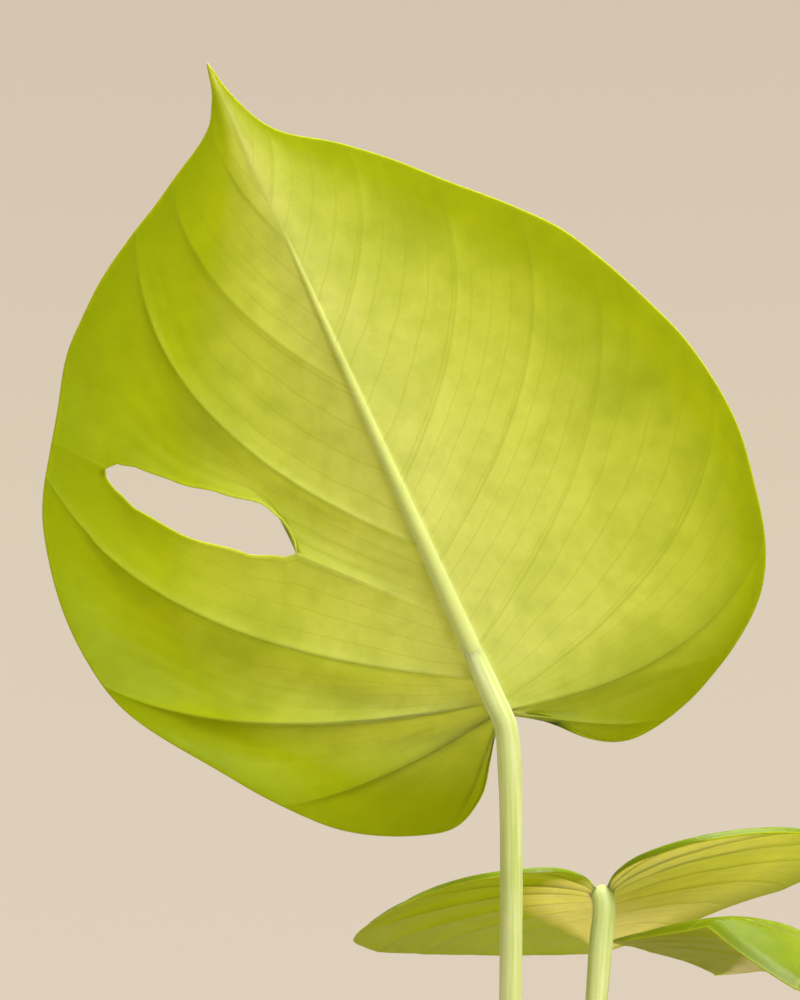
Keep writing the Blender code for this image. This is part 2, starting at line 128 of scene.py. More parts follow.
# ---- leaf blades. In a blade's own frame the stalk is at the origin, +Y runs to the tip and +Z points
# out of the upper face.

broadHalf = [  # margin from the notch to the tip, as shares of half width and length
    (0.02, -0.01), (0.08, -0.055), (0.16, -0.105), (0.30, -0.125), (0.56, -0.055), (0.80, 0.09),
    (0.97, 0.23), (1.01, 0.37), (0.96, 0.50), (0.84, 0.60), (0.66, 0.73), (0.38, 0.83), (0.11, 0.90),
    (0.03, 0.95), (0.0, 1.0),
]
roundHalf = [
    (0.02, -0.01), (0.12, -0.03), (0.22, -0.09), (0.36, -0.115), (0.60, -0.085), (0.88, 0.01), (1.00, 0.19),
    (0.97, 0.36), (0.80, 0.56), (0.52, 0.71), (0.28, 0.815), (0.10, 0.88), (0.03, 0.94), (0.0, 1.0),
]
plainHalf = [
    (0.02, -0.01), (0.07, -0.07), (0.20, -0.14), (0.42, -0.16), (0.74, -0.08), (0.95, 0.10), (1.00, 0.28),
    (0.90, 0.47), (0.68, 0.65), (0.38, 0.81), (0.12, 0.91), (0.03, 0.96), (0.0, 1.0),
]

# Side veins from the notch to the tip: start on the midrib and end on the margin (shares), how far the
# vein bows out, how high it stands out of the underside and how deep the panel beyond it sags (in mm),
# and the fine folds in that panel
broadVeins = [
    (0.0, 0.012, 0.00, 0.0, 0.2, 1), (0.0, 0.11, 0.02, 0.4, 2.2, 2), (0.0, 0.25, 0.05, 0.6, 3.8, 4),
    (0.015, 0.43, 0.08, 0.4, 4.8, 6), (0.05, 0.615, 0.125, 0.6, 1.0, 1), (0.139, 0.645, 0.01, 0.0, 2.4, 4),
    (0.25, 0.84, 0.16, 0.5, 1.2, 5), (0.49, 0.89, 0.12, 0.15, 0.5, 5), (0.72, 0.95, 0.08, 0.05, 0.1, 2),
    (1.0, 1.0, 0.0, 0.0, 0.0, 0),
]
roundVeins = [
    (0.0, 0.012, 0.00, 0.0, 0.5, 1), (0.0, 0.15, 0.04, 0.7, 2.2, 3), (0.0, 0.33, 0.14, 0.22, 0.9, 4),
    (0.012, 0.47, 0.14, 0.12, 0.5, 4), (0.09, 0.63, 0.12, 0.10, 0.3, 2), (0.22, 0.70, 0.12, 0.10, 0.4, 2),
    (0.34, 0.78, 0.12, 0.10, 0.5, 3), (0.56, 0.856, 0.10, 0.06, 0.3, 3), (0.78, 0.93, 0.08, 0.03, 0.1, 2),
    (1.0, 1.0, 0.0, 0.0, 0.0, 0),
]
plainVeins = [
    (0.0, 0.012, 0.00, 0.0, 0.3, 1), (0.0, 0.15, 0.03, 0.4, 0.8, 2), (0.0, 0.31, 0.10, 0.5, 1.0, 3),
    (0.01, 0.45, 0.12, 0.5, 0.9, 3), (0.07, 0.58, 0.12, 0.4, 0.7, 3), (0.19, 0.69, 0.12, 0.35, 0.6, 3),
    (0.36, 0.79, 0.12, 0.3, 0.4, 2), (0.58, 0.87, 0.10, 0.2, 0.3, 2), (0.80, 0.94, 0.08, 0.1, 0.1, 1),
    (1.0, 1.0, 0.0, 0.0, 0.0, 0),
]

# The slot between two side veins: where its line would end on the margin, where it opens along that
# line, and its two edges as (share of the slot's length from the midrib's side, share of the half width)
slot = {
    "end": 0.645, "from": 0.33, "to": 0.83, "spread": 26 * mm, "above": 7.3 * mm, "below": 6.3 * mm,
    "upperEdge": [(0, 0), (0.03, 0.36), (0.10, 0.78), (0.22, 1.0), (0.40, 0.80), (0.62, 0.55), (0.84, 0.45),
                  (0.95, 0.3), (1, 0)],
    "lowerEdge": [(0, 0), (0.04, 0.30), (0.20, 0.70), (0.48, 1.0), (0.74, 0.86), (0.90, 0.55), (0.97, 0.3),
                  (1, 0)],
}

leafForm = {
    "thickness": 0.45 * mm, "rimRound": 0.2 * mm, "tipThinning": 0.4, "notchShare": 0.17,
    "midribDepth": 2.0 * mm, "midribWidth": 2.4 * mm, "midribEnd": 0.74, "groove": 0.3 * mm,
    "crestHalfWidth": 1.3 * mm, "funnelReach": 12 * mm, "creaseRound": 1.0 * mm,
    "foldEase": 0.45, "lobeFold": math.radians(100),
    "roomyRow": 24 * mm, "shortRow": 8 * mm,  # rows shorter than these are smoother, and have fewer points
}

# Unevenness of the blade: how far it goes, and how many bumps of its kind fit in a metre
uneven = {
    "wave": (1.1 * mm, 38), "ripple": (0.16 * mm, 120), "edge": (0.7 * mm, 60),
    "fineFold": 0.09 * mm, "foldDrift": (1.5, 30),
}

leaves = {
    "leaf_1": {
        "stalkAt": (-0.0154, 0.0, 0.370), "tip": (-0.411, 0.0, 0.911), "face": (0.0, 1.0, 0.0),
        "length": 0.158, "halves": ((broadHalf, 0.078, broadVeins), (roundHalf, 0.073, roundVeins)),
        "slot": slot, "fold": (0.22, 0.24), "cup": (-0.13, -0.14), "lobe": (0.70, 0.85), "arch": -8,
        "funnel": 0.003, "curl": 0.3, "rowGap": 1.3 * mm, "columns": 60, "seed": 1,
    },
    "leaf_2": {
        "stalkAt": (0.0080, 0.022, 0.3280), "tip": (0.03, 0.98, -0.19), "face": (-0.13, 0.20, 0.97),
        "length": 0.104, "halves": ((plainHalf, 0.062, plainVeins), (plainHalf, 0.057, plainVeins)),
        "slot": None, "fold": (0.14, 0.04), "cup": (-0.02, -0.06), "lobe": (0.0, 0.0), "arch": 4,
        "funnel": 0.008, "curl": 1.3, "rowGap": 1.6 * mm, "columns": 40, "seed": 2,
    },
    "leaf_3": {
        "stalkAt": (0.0630, 0.016, 0.3120), "tip": (-0.27, 0.96, -0.06), "face": (0.02, 0.10, 0.99),
        "length": 0.090, "halves": ((plainHalf, 0.047, plainVeins), (plainHalf, 0.047, plainVeins)),
        "slot": None, "fold": (0.12, 0.30), "cup": (0.0, -0.12), "lobe": (0.0, -1.7), "arch": 6,
        "funnel": 0.012, "curl": 1.6, "rowGap": 1.6 * mm, "columns": 36, "seed": 3,
    },
    "leaf_4": {
        "stalkAt": (-0.060, -0.046, 0.248), "tip": (-0.72, -0.52, -0.46), "face": (-0.40, -0.22, 0.89),
        "length": 0.108, "halves": ((plainHalf, 0.056, plainVeins), (plainHalf, 0.054, plainVeins)),
        "slot": None, "fold": (0.12, 0.10), "cup": (-0.06, -0.06), "lobe": (0.0, 0.0), "arch": 26,
        "funnel": 0.006, "curl": 0.9, "rowGap": 1.9 * mm, "columns": 32, "seed": 4,
    },
    "leaf_5": {
        "stalkAt": (0.046, -0.060, 0.240), "tip": (0.42, -0.80, -0.43), "face": (0.20, -0.40, 0.89),
        "length": 0.100, "halves": ((plainHalf, 0.051, plainVeins), (plainHalf, 0.053, plainVeins)),
        "slot": None, "fold": (0.12, 0.14), "cup": (-0.06, -0.06), "lobe": (0.0, 0.0), "arch": 24,
        "funnel": 0.006, "curl": 0.9, "rowGap": 1.9 * mm, "columns": 32, "seed": 5,
    },
    "leaf_6": {
        "stalkAt": (-0.030, 0.082, 0.256), "tip": (-0.36, 0.82, -0.44), "face": (-0.18, 0.42, 0.89),
        "length": 0.112, "halves": ((plainHalf, 0.058, plainVeins), (plainHalf, 0.056, plainVeins)),
        "slot": None, "fold": (0.10, 0.12), "cup": (-0.05, -0.05), "lobe": (0.0, 0.0), "arch": 24,
        "funnel": 0.006, "curl": 0.9, "rowGap": 1.9 * mm, "columns": 32, "seed": 6,
    },
    "leaf_7": {
        "stalkAt": (0.078, 0.058, 0.222), "tip": (0.76, 0.48, -0.43), "face": (0.38, 0.20, 0.90),
        "length": 0.096, "halves": ((plainHalf, 0.050, plainVeins), (plainHalf, 0.048, plainVeins)),
        "slot": None, "fold": (0.10, 0.10), "cup": (-0.05, -0.05), "lobe": (0.0, 0.0), "arch": 22,
        "funnel": 0.006, "curl": 0.9, "rowGap": 1.9 * mm, "columns": 32, "seed": 7,
    },
}


def bladeFrame(leaf):
    tip = Vector(leaf["tip"]).normalized()
    face = Vector(leaf["face"])
    face = (face - tip * face.dot(tip)).normalized()
    placed = Matrix((tip.cross(face), tip, face)).transposed().to_4x4()
    placed.translation = Vector(leaf["stalkAt"])
    return placed


def between(veins, column, value, key):  # reads a vein table's column between two rows, by another column
    for low, high in zip(veins, veins[1:]):
        if value <= high[key]:
            share = (value - low[key]) / (high[key] - low[key]) if high[key] > low[key] else 1.0
            return low[column] + (high[column] - low[column]) * share
    return veins[-1][column]


def veinPoint(leaf, side, margin, start, end, bow, along):
    sign = 1 - 2 * side
    foot = Vector((0.0, start * leaf["length"]))
    edge = margin.at(end)
    chord = edge - foot
    handle = foot + chord * 0.65 + Vector((chord.y, -chord.x)) * sign * 2 * bow
    bowed = foot * (1 - along) ** 2 + handle * 2 * along * (1 - along) + edge * along**2
    besideNotch = max(0.0, 1 - end / leafForm["notchShare"])
    return bowed.lerp(margin.at(end * along), besideNotch) if besideNotch else bowed


def liftPoint(leaf, side, point, relief):
    halfWidth = leaf["halves"][side][1]
    out = math.sqrt(point.x**2 + leafForm["creaseRound"] ** 2) - leafForm["creaseRound"]
    across = out / halfWidth
    rise = relief + out * leaf["fold"][side] * (1 - leafForm["foldEase"] * across)
    rise += leaf["cup"][side] * halfWidth * across**2
    distance = point.length
    if distance > 1e-6:
        flared = 1 - math.exp(-distance / leafForm["funnelReach"])
        rise += leaf["funnel"] * (1 - point.y / distance) / 2 * flared
        around = math.atan2(abs(point.x), point.y)
        behind = max(0.0, (around - leafForm["lobeFold"]) / (math.pi - leafForm["lobeFold"]))
        rise += leaf["lobe"][side] * distance * behind
    bend = math.radians(leaf["arch"]) * max(0.0, point.y) / leaf["length"]
    y = point.y * math.cos(bend / 2)
    z = -point.y * math.sin(bend / 2)
    return Vector((point.x, y + rise * math.sin(bend), z + rise * math.cos(bend)))


def midribAt(leaf, point):  # how far the midrib stands out at a flat point, 1 on its crest at the stalk
    share = min(max(point.y / leaf["length"], 0.0), 1.0)
    left = max(0.0, 1 - share / leafForm["midribEnd"])
    width = leafForm["midribWidth"] * (0.16 + 0.84 * left)
    off = abs(point.x) if point.y > 0 else point.length
    return left**0.75 * max(0.0, 1 - (off / width) ** 2) ** 0.75


def clustered(count):  # places from 0 to 1, closer together at both ends
    return [0.5 - 0.5 * math.cos(math.pi * i / count) for i in range(count)]


def midribPlaces(leaf, margins):
    # where rows start on the midrib, the same for both halves
    starts = sorted({round(vein[0], 5) for _, _, veins in leaf["halves"] for vein in veins if vein[0] > 0})
    places = []
    low = 0.0
    for high in starts:
        longest = 0.0
        for (_, _, veins), margin in zip(leaf["halves"], margins):
            span = marginShare(veins, high) - marginShare(veins, low)
            longest = max(longest, span * margin.length)
        count = max(2, round(longest / leaf["rowGap"]))
        places += [low + (high - low) * share for share in clustered(count) if low + share > 0]
        low = high
    return places


def marginShare(veins, start):
    fan = [vein for vein in veins if vein[0] > 0]
    last = [vein for vein in veins if vein[0] == 0][-1]
    return between([last] + fan, 1, start, 0)


def bladeRows(leaf, side, margin, places):
    # every row of one half as (start, end, bow, the side vein that it lies above)
    veins = leaf["halves"][side][2]
    ends = []
    fanned = [vein for vein in veins if vein[0] == 0]
    for low, high in zip(fanned, fanned[1:]):
        count = max(3, round((high[1] - low[1]) * margin.length / leaf["rowGap"]))
        ends += [(0.0, low[1] + (high[1] - low[1]) * share) for share in clustered(count)]
    ends.append((0.0, fanned[-1][1]))
    ends += [(place, marginShare(veins, place)) for place in places if place > 0]
    rows = []
    for start, end in ends:
        below = max(index for index in range(len(veins) - 1) if veins[index][1] <= end + 1e-6)
        rows.append((start, end, between(veins, 2, end, 1), below))
    return rows


def columnPlaces(count, slotted):
    places = [0.0, 0.006, 0.013, 0.021, 0.031, 0.044, 0.062, 0.085]
    stops = [0.11, slot["from"], slot["to"], 0.965] if slotted else [0.11, 0.965]
    for low, high in zip(stops, stops[1:]):
        steps = round((count - 12) * (high - low) / 0.855)
        inSlot = slotted and low == slot["from"]
        shares = clustered(steps) if inSlot else [i / steps for i in range(steps)]
        places += [low + (high - low) * share for share in shares]
    return places + [0.965, 0.982, 0.993, 1.0]


def slotEdge(edge, gone):  # straight from point to point near the blunt ends, smooth between
    for (a, low), (b, high) in zip(edge, edge[1:]):
        if gone <= b:
            share = (gone - a) / (b - a)
            return low + (high - low) * (share if b < 0.11 or a > 0.89 else smoothStep(0, 1, share))
    return 0.0


def veinRidge(height, off, along):
    # a vein's crest: narrow and rounded, lower toward the margin
    crest = height * mm * (1 - along) ** 0.8 * min(1.0, along / 0.02)
    return crest * math.exp(-((off / leafForm["crestHalfWidth"]) ** 2))


def bumpAt(flat, perMetre, layer):
    return noise.noise(Vector((flat.x * perMetre, flat.y * perMetre, layer)))


def bladeSurface(leaf):
    margins = [MeasuredLine(smoothLine([(x * w * (1 - 2 * side), y * leaf["length"]) for x, y in shape], 12))
               for side, (shape, w, _) in enumerate(leaf["halves"])]
    places = midribPlaces(leaf, margins) + [1.0]
    columns = columnPlaces(leaf["columns"], leaf["slot"] is not None)
    points, faces, under, facts, index = [], [], [], [], {}

    def vertex(key, side, flat, relief, fact):
        if key not in index:
            index[key] = len(points)
            points.append(liftPoint(leaf, side, flat, relief))
            under.append(leafForm["midribDepth"] * midribAt(leaf, flat))
            facts.append(fact)
        return index[key]

    for side in (0, 1):
        veins = leaf["halves"][side][2]
        margin = margins[side]
        rows = bladeRows(leaf, side, margin, places)
        lines = [[veinPoint(leaf, side, margin, *vein[:3], along) for along in columns] for vein in veins]
        slotLine = None
        if leaf["slot"] and side == 0:
            slotLine = next(i for i, vein in enumerate(veins) if abs(vein[1] - slot["end"]) < 1e-6)

        def cell(rowIndex, column, above):
            start, end, bow, below = rows[rowIndex]
            reach = (margin.at(end) - Vector((0.0, start * leaf["length"]))).length
            if reach < leafForm["shortRow"] and column < len(columns) - 1:
                column -= column % 4
            along = columns[column]
            flat = veinPoint(leaf, side, margin, start, end, bow, along)
            offLow = (flat - lines[below][column]).length
            offHigh = (flat - lines[below + 1][column]).length
            share = offLow / (offLow + offHigh) if offLow + offHigh > 1e-9 else 0.0
            room = smoothStep(0.0, leafForm["roomyRow"], reach)
            spread = room * smoothStep(0.0, 0.25, along) * (1 - 0.8 * smoothStep(0.6, 1.0, along))
            sag = veins[below][4] * mm * spread * (4 * share * (1 - share)) ** 0.7
            drift, driftsPerMetre = uneven["foldDrift"]
            phase = bumpAt(flat, driftsPerMetre, leaf["seed"] * 1.7) * drift
            sag += uneven["fineFold"] * spread * math.sin(2 * math.pi * (share * veins[below][5] + phase))
            crest = veinRidge(veins[below][3], offLow, along)
            crest += veinRidge(veins[below + 1][3], offHigh, along)
            relief = sag - crest * room
            wave, wavesPerMetre = uneven["wave"]
            relief += room * bumpAt(flat, wavesPerMetre, leaf["seed"] * 7.3) * wave * along**2
            ripple, ripplesPerMetre = uneven["ripple"]
            rippled = bumpAt(flat, ripplesPerMetre, leaf["seed"] * 3.1) * ripple
            relief += room * rippled * smoothStep(0.0, 0.1, along)
            curl = leaf["curl"] * mm * (1 - 0.8 * smoothStep(0.3, 0.55, end))  # less toward the tip
            curl *= smoothStep(0.88, 1.0, along) ** 1.5
            relief -= leafForm["groove"] * midribAt(leaf, flat) + curl * room
            edge, edgesPerMetre = uneven["edge"]
            pushed = bumpAt(flat, edgesPerMetre, leaf["seed"] * 5.1) * along**8 * room * edge
            flat = flat + flat.normalized() * pushed if flat.length > 1e-6 else flat
            key = (side, rowIndex, column)
            if rowIndex == len(rows) - 1:
                key = "tip"
            elif column == 0:
                key = ("midrib", round(start, 5))
            elif slotLine is not None:
                gone = (along - slot["from"]) / (slot["to"] - slot["from"])
                if 0 < gone < 1:
                    outline, most = ("upperEdge", "above") if above else ("lowerEdge", "below")
                    half = slot[most] * slotEdge(slot[outline], gone)
                    centre = lines[slotLine][column]
                    ahead = lines[slotLine][min(column + 1, len(columns) - 1)] - centre
                    push = Vector((-ahead.y, ahead.x)).normalized()
                    push = -push if push.y < 0 else push
                    left = max(0.0, 1 - (flat - centre).length / slot["spread"])
                    flat = flat + push * half * left**2 * (1 if above else -1)
                    if abs(end - slot["end"]) < 1e-6:
                        key = (side, rowIndex, column, above)
            # its sign tells the two halves apart, and the leaf skins also use it to paint one half paler or
            # darker as painted light
            veinCount = (below + share) * (1 - 2 * side)  # for the fine parallel veins between the main ones
            near = min(offLow if veins[below][3] else 1.0, offHigh if veins[below + 1][3] else 1.0)
            fact = (along, abs(flat.x) / mm, near / mm, veinCount, flat.y / leaf["length"])
            return vertex(key, side, flat, relief, fact)

        for rowIndex in range(len(rows) - 1):
            above = rows[rowIndex][1] > slot["end"] - 1e-6 if slotLine is not None else False
            low = [cell(rowIndex, column, above) for column in range(len(columns))]
            high = [cell(rowIndex + 1, column, above) for column in range(len(columns))]
            for a, b, c, d in zip(low, low[1:], high[1:], high):
                corners = list(dict.fromkeys((a, b, c, d)))
                if len(corners) > 2:
                    faces.append(corners if side == 0 else corners[::-1])
    return points, faces, under, facts


def thickShell(name, points, faces, up, down, rim, facts, factNames):
    # a closed shell round a surface: its upper faces, its lower faces, and a rounded rim between them
    at = np.array([tuple(p) for p in points])
    normals = np.zeros_like(at)
    for corners in faces:
        a, b, c = at[corners[0]], at[corners[1]], at[corners[2]]
        normal = np.cross(b - a, c - a)
        if len(corners) == 4:
            d = at[corners[3]]
            normal = normal + np.cross(c - a, d - a)
        for corner in corners:
            normals[corner] += normal
    normals /= np.maximum(np.linalg.norm(normals, axis=1, keepdims=True), 1e-12)
    edges = {}
    for corners in faces:
        for a, b in zip(corners, corners[1:] + corners[:1]):
            edges[(a, b)] = True
    border = [(a, b) for a, b in edges if (b, a) not in edges]
    count = len(at)
    outward = {}
    for a, b in border:
        off = np.cross(at[b] - at[a], normals[a])
        for corner in (a, b):
            outward[corner] = outward.get(corner, 0) + off
    rimIndex = {corner: 2 * count + i for i, corner in enumerate(outward)}
    rimPoints = [at[c] + o / max(np.linalg.norm(o), 1e-12) * rim for c, o in outward.items()]
    upper = at + normals * np.array(up)[:, None]
    lower = at - normals * np.array(down)[:, None]
    vertices = np.vstack([upper, lower, rimPoints])
    shellFaces = [list(corners) for corners in faces]
    shellFaces += [[corner + count for corner in reversed(corners)] for corners in faces]
    for a, b in border:
        shellFaces.append([b, a, rimIndex[a], rimIndex[b]])
        shellFaces.append([rimIndex[b], rimIndex[a], a + count, b + count])
    mesh = bpy.data.meshes.new(name)
    mesh.from_pydata(vertices.tolist(), [], shellFaces)
    kind = np.ones(len(shellFaces), np.int32)
    kind[:len(faces)] = 0
    mesh.polygons.foreach_set("material_index", kind)
    whole = np.array(list(facts) * 2 + [facts[c] for c in outward], np.float32)
    for column, factName in enumerate(factNames):
        mesh.attributes.new(factName, "FLOAT", "POINT").data.foreach_set("value", whole[:, column].copy())
    mesh.update()
    return mesh


# ---- materials of the living parts

factNames = ("along", "fromMidrib", "fromVein", "veinCount", "upBlade")  # kept at each point of a blade


def leafSkin(name, look):
    # Living leaf: a waxy cuticle over thin green tissue. Satin, never mirror-like, and light from behind
    # glows through.
    material, tree, skin = newMaterial(name)
    place = addNode(tree, "ShaderNodeTexCoord").outputs["Object"]
    facts = {fact: addNode(tree, "ShaderNodeAttribute", attribute_name=fact).outputs["Fac"]
             for fact in factNames}
    # the pale tone reaches further out on one half than on the other: painted light, one half is painted
    # paler or darker for how the light falls on it and shines through it
    half = addNode(tree, "ShaderNodeMapRange",
                   {"From Min": -0.3, "From Max": 0.3, "To Min": look["reach"], "To Max": 1.0},
                   {"Value": facts["veinCount"]})
    paleToneAndLitHalf = addNode(tree, "ShaderNodeMath", links={0: facts["along"], 1: half.outputs[0]},
                       operation="MULTIPLY")
    rim = addNode(tree, "ShaderNodeMapRange", {"From Min": 0.97}, {"Value": facts["along"]})
    paleToneAndLitHalf = addNode(tree, "ShaderNodeMath", links={0: paleToneAndLitHalf.outputs[0], 1: rim.outputs[0]},
                       operation="MAXIMUM")
    body = addNode(tree, "ShaderNodeValToRGB", links={"Fac": paleToneAndLitHalf.outputs[0]},
                   stops=look["body"]).outputs["Color"]
    # the lobes behind the stalk are painted a deeper green: painted shade, for lobes that face down and away
    # from the light
    lobe = addNode(tree, "ShaderNodeMapRange",
                   {"From Min": 0.06, "From Max": -0.09, "To Max": look["lobes"]},
                   {"Value": facts["upBlade"]})
    body = addNode(tree, "ShaderNodeMix", {"B": hexColour(look["lobe"])},
                   {"Factor": lobe.outputs[0], "A": body}, data_type="RGBA").outputs["Result"]
    # cloudy patches of deeper green, 22 mm and 5 mm across
    for size, strength in ((22, look["clouds"]), (5, look["clouds"] * 0.5)):
        cloud = addNode(tree, "ShaderNodeTexNoise", {"Scale": 1 / (size * mm)}, {"Vector": place})
        amount = addNode(tree, "ShaderNodeMapRange",
                         {"From Min": 0.42, "From Max": 0.72, "To Max": strength},
                         {"Value": cloud.outputs["Fac"]})
        body = addNode(tree, "ShaderNodeMix", {"B": hexColour(look["cloud"])},
                       {"Factor": amount.outputs[0], "A": body}, data_type="RGBA").outputs["Result"]
    # fine parallel veins between the main ones: thin lines, 4 to a panel
    count = addNode(tree, "ShaderNodeMath", {1: 4.0}, {0: facts["veinCount"]}, operation="MULTIPLY")
    drift = addNode(tree, "ShaderNodeTexNoise", {"Scale": 1 / (14 * mm)}, {"Vector": place})
    wobble = addNode(tree, "ShaderNodeMath", {1: 0.35}, {0: drift.outputs["Fac"]}, operation="MULTIPLY")
    moved = addNode(tree, "ShaderNodeMath", links={0: count.outputs[0], 1: wobble.outputs[0]},
                    operation="ADD")
    line = addNode(tree, "ShaderNodeMath", {1: 0.5}, {0: moved.outputs[0]}, operation="PINGPONG")
    thin = addNode(tree, "ShaderNodeMapRange",
                   {"From Min": 0.0, "From Max": 0.07, "To Min": look["lines"], "To Max": 0.0},
                   {"Value": line.outputs[0]})
    body = addNode(tree, "ShaderNodeMix", {"B": hexColour(look["line"])},
                   {"Factor": thin.outputs[0], "A": body}, data_type="RGBA").outputs["Result"]
    # main veins: a thin darker line beside a paler crest
    vein = addNode(tree, "ShaderNodeMapRange",
                   {"From Min": 0.12, "From Max": 0.55, "To Min": look["veins"], "To Max": 0.0},
                   {"Value": facts["fromVein"]})
    body = addNode(tree, "ShaderNodeMix", {"B": hexColour(look["vein"])},
                   {"Factor": vein.outputs[0], "A": body}, data_type="RGBA").outputs["Result"]
    # the midrib is pale and fleshy at the stalk, and gone near the tip
    narrow = addNode(tree, "ShaderNodeMath", {1: -2.75, 2: 2.4}, {0: facts["upBlade"]},
                     operation="MULTIPLY_ADD")
    narrow = addNode(tree, "ShaderNodeMath", {1: 0.3}, {0: narrow.outputs[0]}, operation="MAXIMUM")
    close = addNode(tree, "ShaderNodeMath", links={0: facts["fromMidrib"], 1: narrow.outputs[0]},
                    operation="DIVIDE")
    rib = addNode(tree, "ShaderNodeMapRange",
                  {"From Min": 0.7, "From Max": 1.15, "To Min": 1.0, "To Max": 0.0},
                  {"Value": close.outputs[0]}, interpolation_type="SMOOTHSTEP")
    fade = addNode(tree, "ShaderNodeMapRange",
                   {"From Min": 0.1, "From Max": 0.75, "To Min": 1.0, "To Max": 0.1},
                   {"Value": facts["upBlade"]})
    ribAmount = addNode(tree, "ShaderNodeMath", links={0: rib.outputs[0], 1: fade.outputs[0]},
                        operation="MULTIPLY")
    body = addNode(tree, "ShaderNodeMix", {"B": hexColour(look["rib"])},
                   {"Factor": ribAmount.outputs[0], "A": body}, data_type="RGBA").outputs["Result"]
    tree.links.new(body, skin.inputs["Base Color"])
    # cells and net veins as fine relief, 0.4 mm and 2.5 mm
    cells = addNode(tree, "ShaderNodeTexNoise", {"Scale": 1 / (0.45 * mm)}, {"Vector": place})
    net = addNode(tree, "ShaderNodeTexVoronoi", {"Scale": 1 / (2.6 * mm)}, {"Vector": place},
                  feature="DISTANCE_TO_EDGE")
    netLine = addNode(tree, "ShaderNodeMapRange", {"From Max": 0.12}, {"Value": net.outputs["Distance"]})
    fine = addNode(tree, "ShaderNodeMath", {1: 0.35}, {0: cells.outputs["Fac"], 2: netLine.outputs[0]},
                   operation="MULTIPLY_ADD")
    bump = addNode(tree, "ShaderNodeBump", {"Strength": look["bump"], "Distance": 0.05 * mm},
                   {"Height": fine.outputs[0]})
    tree.links.new(bump.outputs[0], skin.inputs["Normal"])
    waxy = addNode(tree, "ShaderNodeTexNoise", {"Scale": 1 / (9 * mm)}, {"Vector": place})
    gloss = addNode(tree, "ShaderNodeMapRange",
                    {"To Min": look["rough"] - 0.05, "To Max": look["rough"] + 0.07},
                    {"Value": waxy.outputs["Fac"]})
    tree.links.new(gloss.outputs[0], skin.inputs["Roughness"])
    skin.inputs["IOR"].default_value = 1.42
    skin.inputs["Subsurface Weight"].default_value = look["glow"]
    skin.inputs["Subsurface Radius"].default_value = (1.0, 0.95, 0.3)
    skin.inputs["Subsurface Scale"].default_value = 2.2 * mm
    skin.inputs["Specular IOR Level"].default_value = look["shine"]
    return material


# reach: how far the pale tone goes out on the second half of a blade, painted light that makes that half
# paler or darker
bigUnderLook = {
    "body": [(0.0, "#d2dd7a"), (0.3, "#c9d75c"), (0.62, "#a8ba10"), (0.98, "#90a600"), (1.0, "#98ac08")],
    "lobe": "#8d9c00", "lobes": 0.8, "cloud": "#829600", "clouds": 0.4, "line": "#93a41c", "lines": 0.22,
    "vein": "#8fa21e", "veins": 0.25, "rib": "#d5e294", "rough": 0.46, "bump": 0.25, "glow": 0.8,
    "shine": 0.1, "reach": 0.72,
}
smallUnderLook = dict(bigUnderLook,
                      body=[(0.0, "#e8e4ac"), (0.55, "#e9e4a6"), (0.98, "#a6ac38"), (1.0, "#9cac1e")],
                      lobes=0.0, clouds=0.2, glow=1.0, lines=0.3, veins=0.4, reach=4.0)
upperLook = {
    "body": [(0.0, "#b4c64c"), (0.35, "#a0b62a"), (0.72, "#8ba50e"), (0.98, "#819b04"), (1.0, "#aabb3c")],
    "lobe": "#8aa30a", "lobes": 0.3, "cloud": "#6c8808", "clouds": 0.45, "line": "#7a9410", "lines": 0.25,
    "vein": "#b1c258", "veins": 0.4, "rib": "#c8d480", "rough": 0.36, "bump": 0.3, "glow": 1.0, "shine": 0.4,
    "reach": 1.0,
}
leafUpperSkin = leafSkin("leafUpperSkin", upperLook)
bigLeafUnderSkin = leafSkin("bigLeafUnderSkin", bigUnderLook)
smallLeafUnderSkin = leafSkin("smallLeafUnderSkin", smallUnderLook)

for name, leaf in leaves.items():
    points, faces, under, facts = bladeSurface(leaf)
    half = [leafForm["thickness"] / 2 * (1 - leafForm["tipThinning"] * smoothStep(0.94, 1.0, fact[4]))
            for fact in facts]
    mesh = thickShell(f"{name}_blade_skin", points, faces, half, [h + u for h, u in zip(half, under)],
                      leafForm["rimRound"], facts, factNames)
    mesh.materials.append(leafUpperSkin)
    mesh.materials.append(bigLeafUnderSkin if leaf["slot"] else smallLeafUnderSkin)
    mesh.transform(bladeFrame(leaf))
    addPiece(mesh, f"{name}_blade")
    print(name, "blade:", len(mesh.vertices), "points")


# ---- tubes: leaf stalks, stems and rolled leaves

def lineFrames(points, side):  # a frame at each point, turning as little as it can from one to the next
    frames = []
    for index, point in enumerate(points):
        ahead = (points[min(index + 1, len(points) - 1)] - points[max(index - 1, 0)]).normalized()
        side = (side - ahead * side.dot(ahead)).normalized()
        frames.append((point, side, ahead.cross(side)))
    return frames


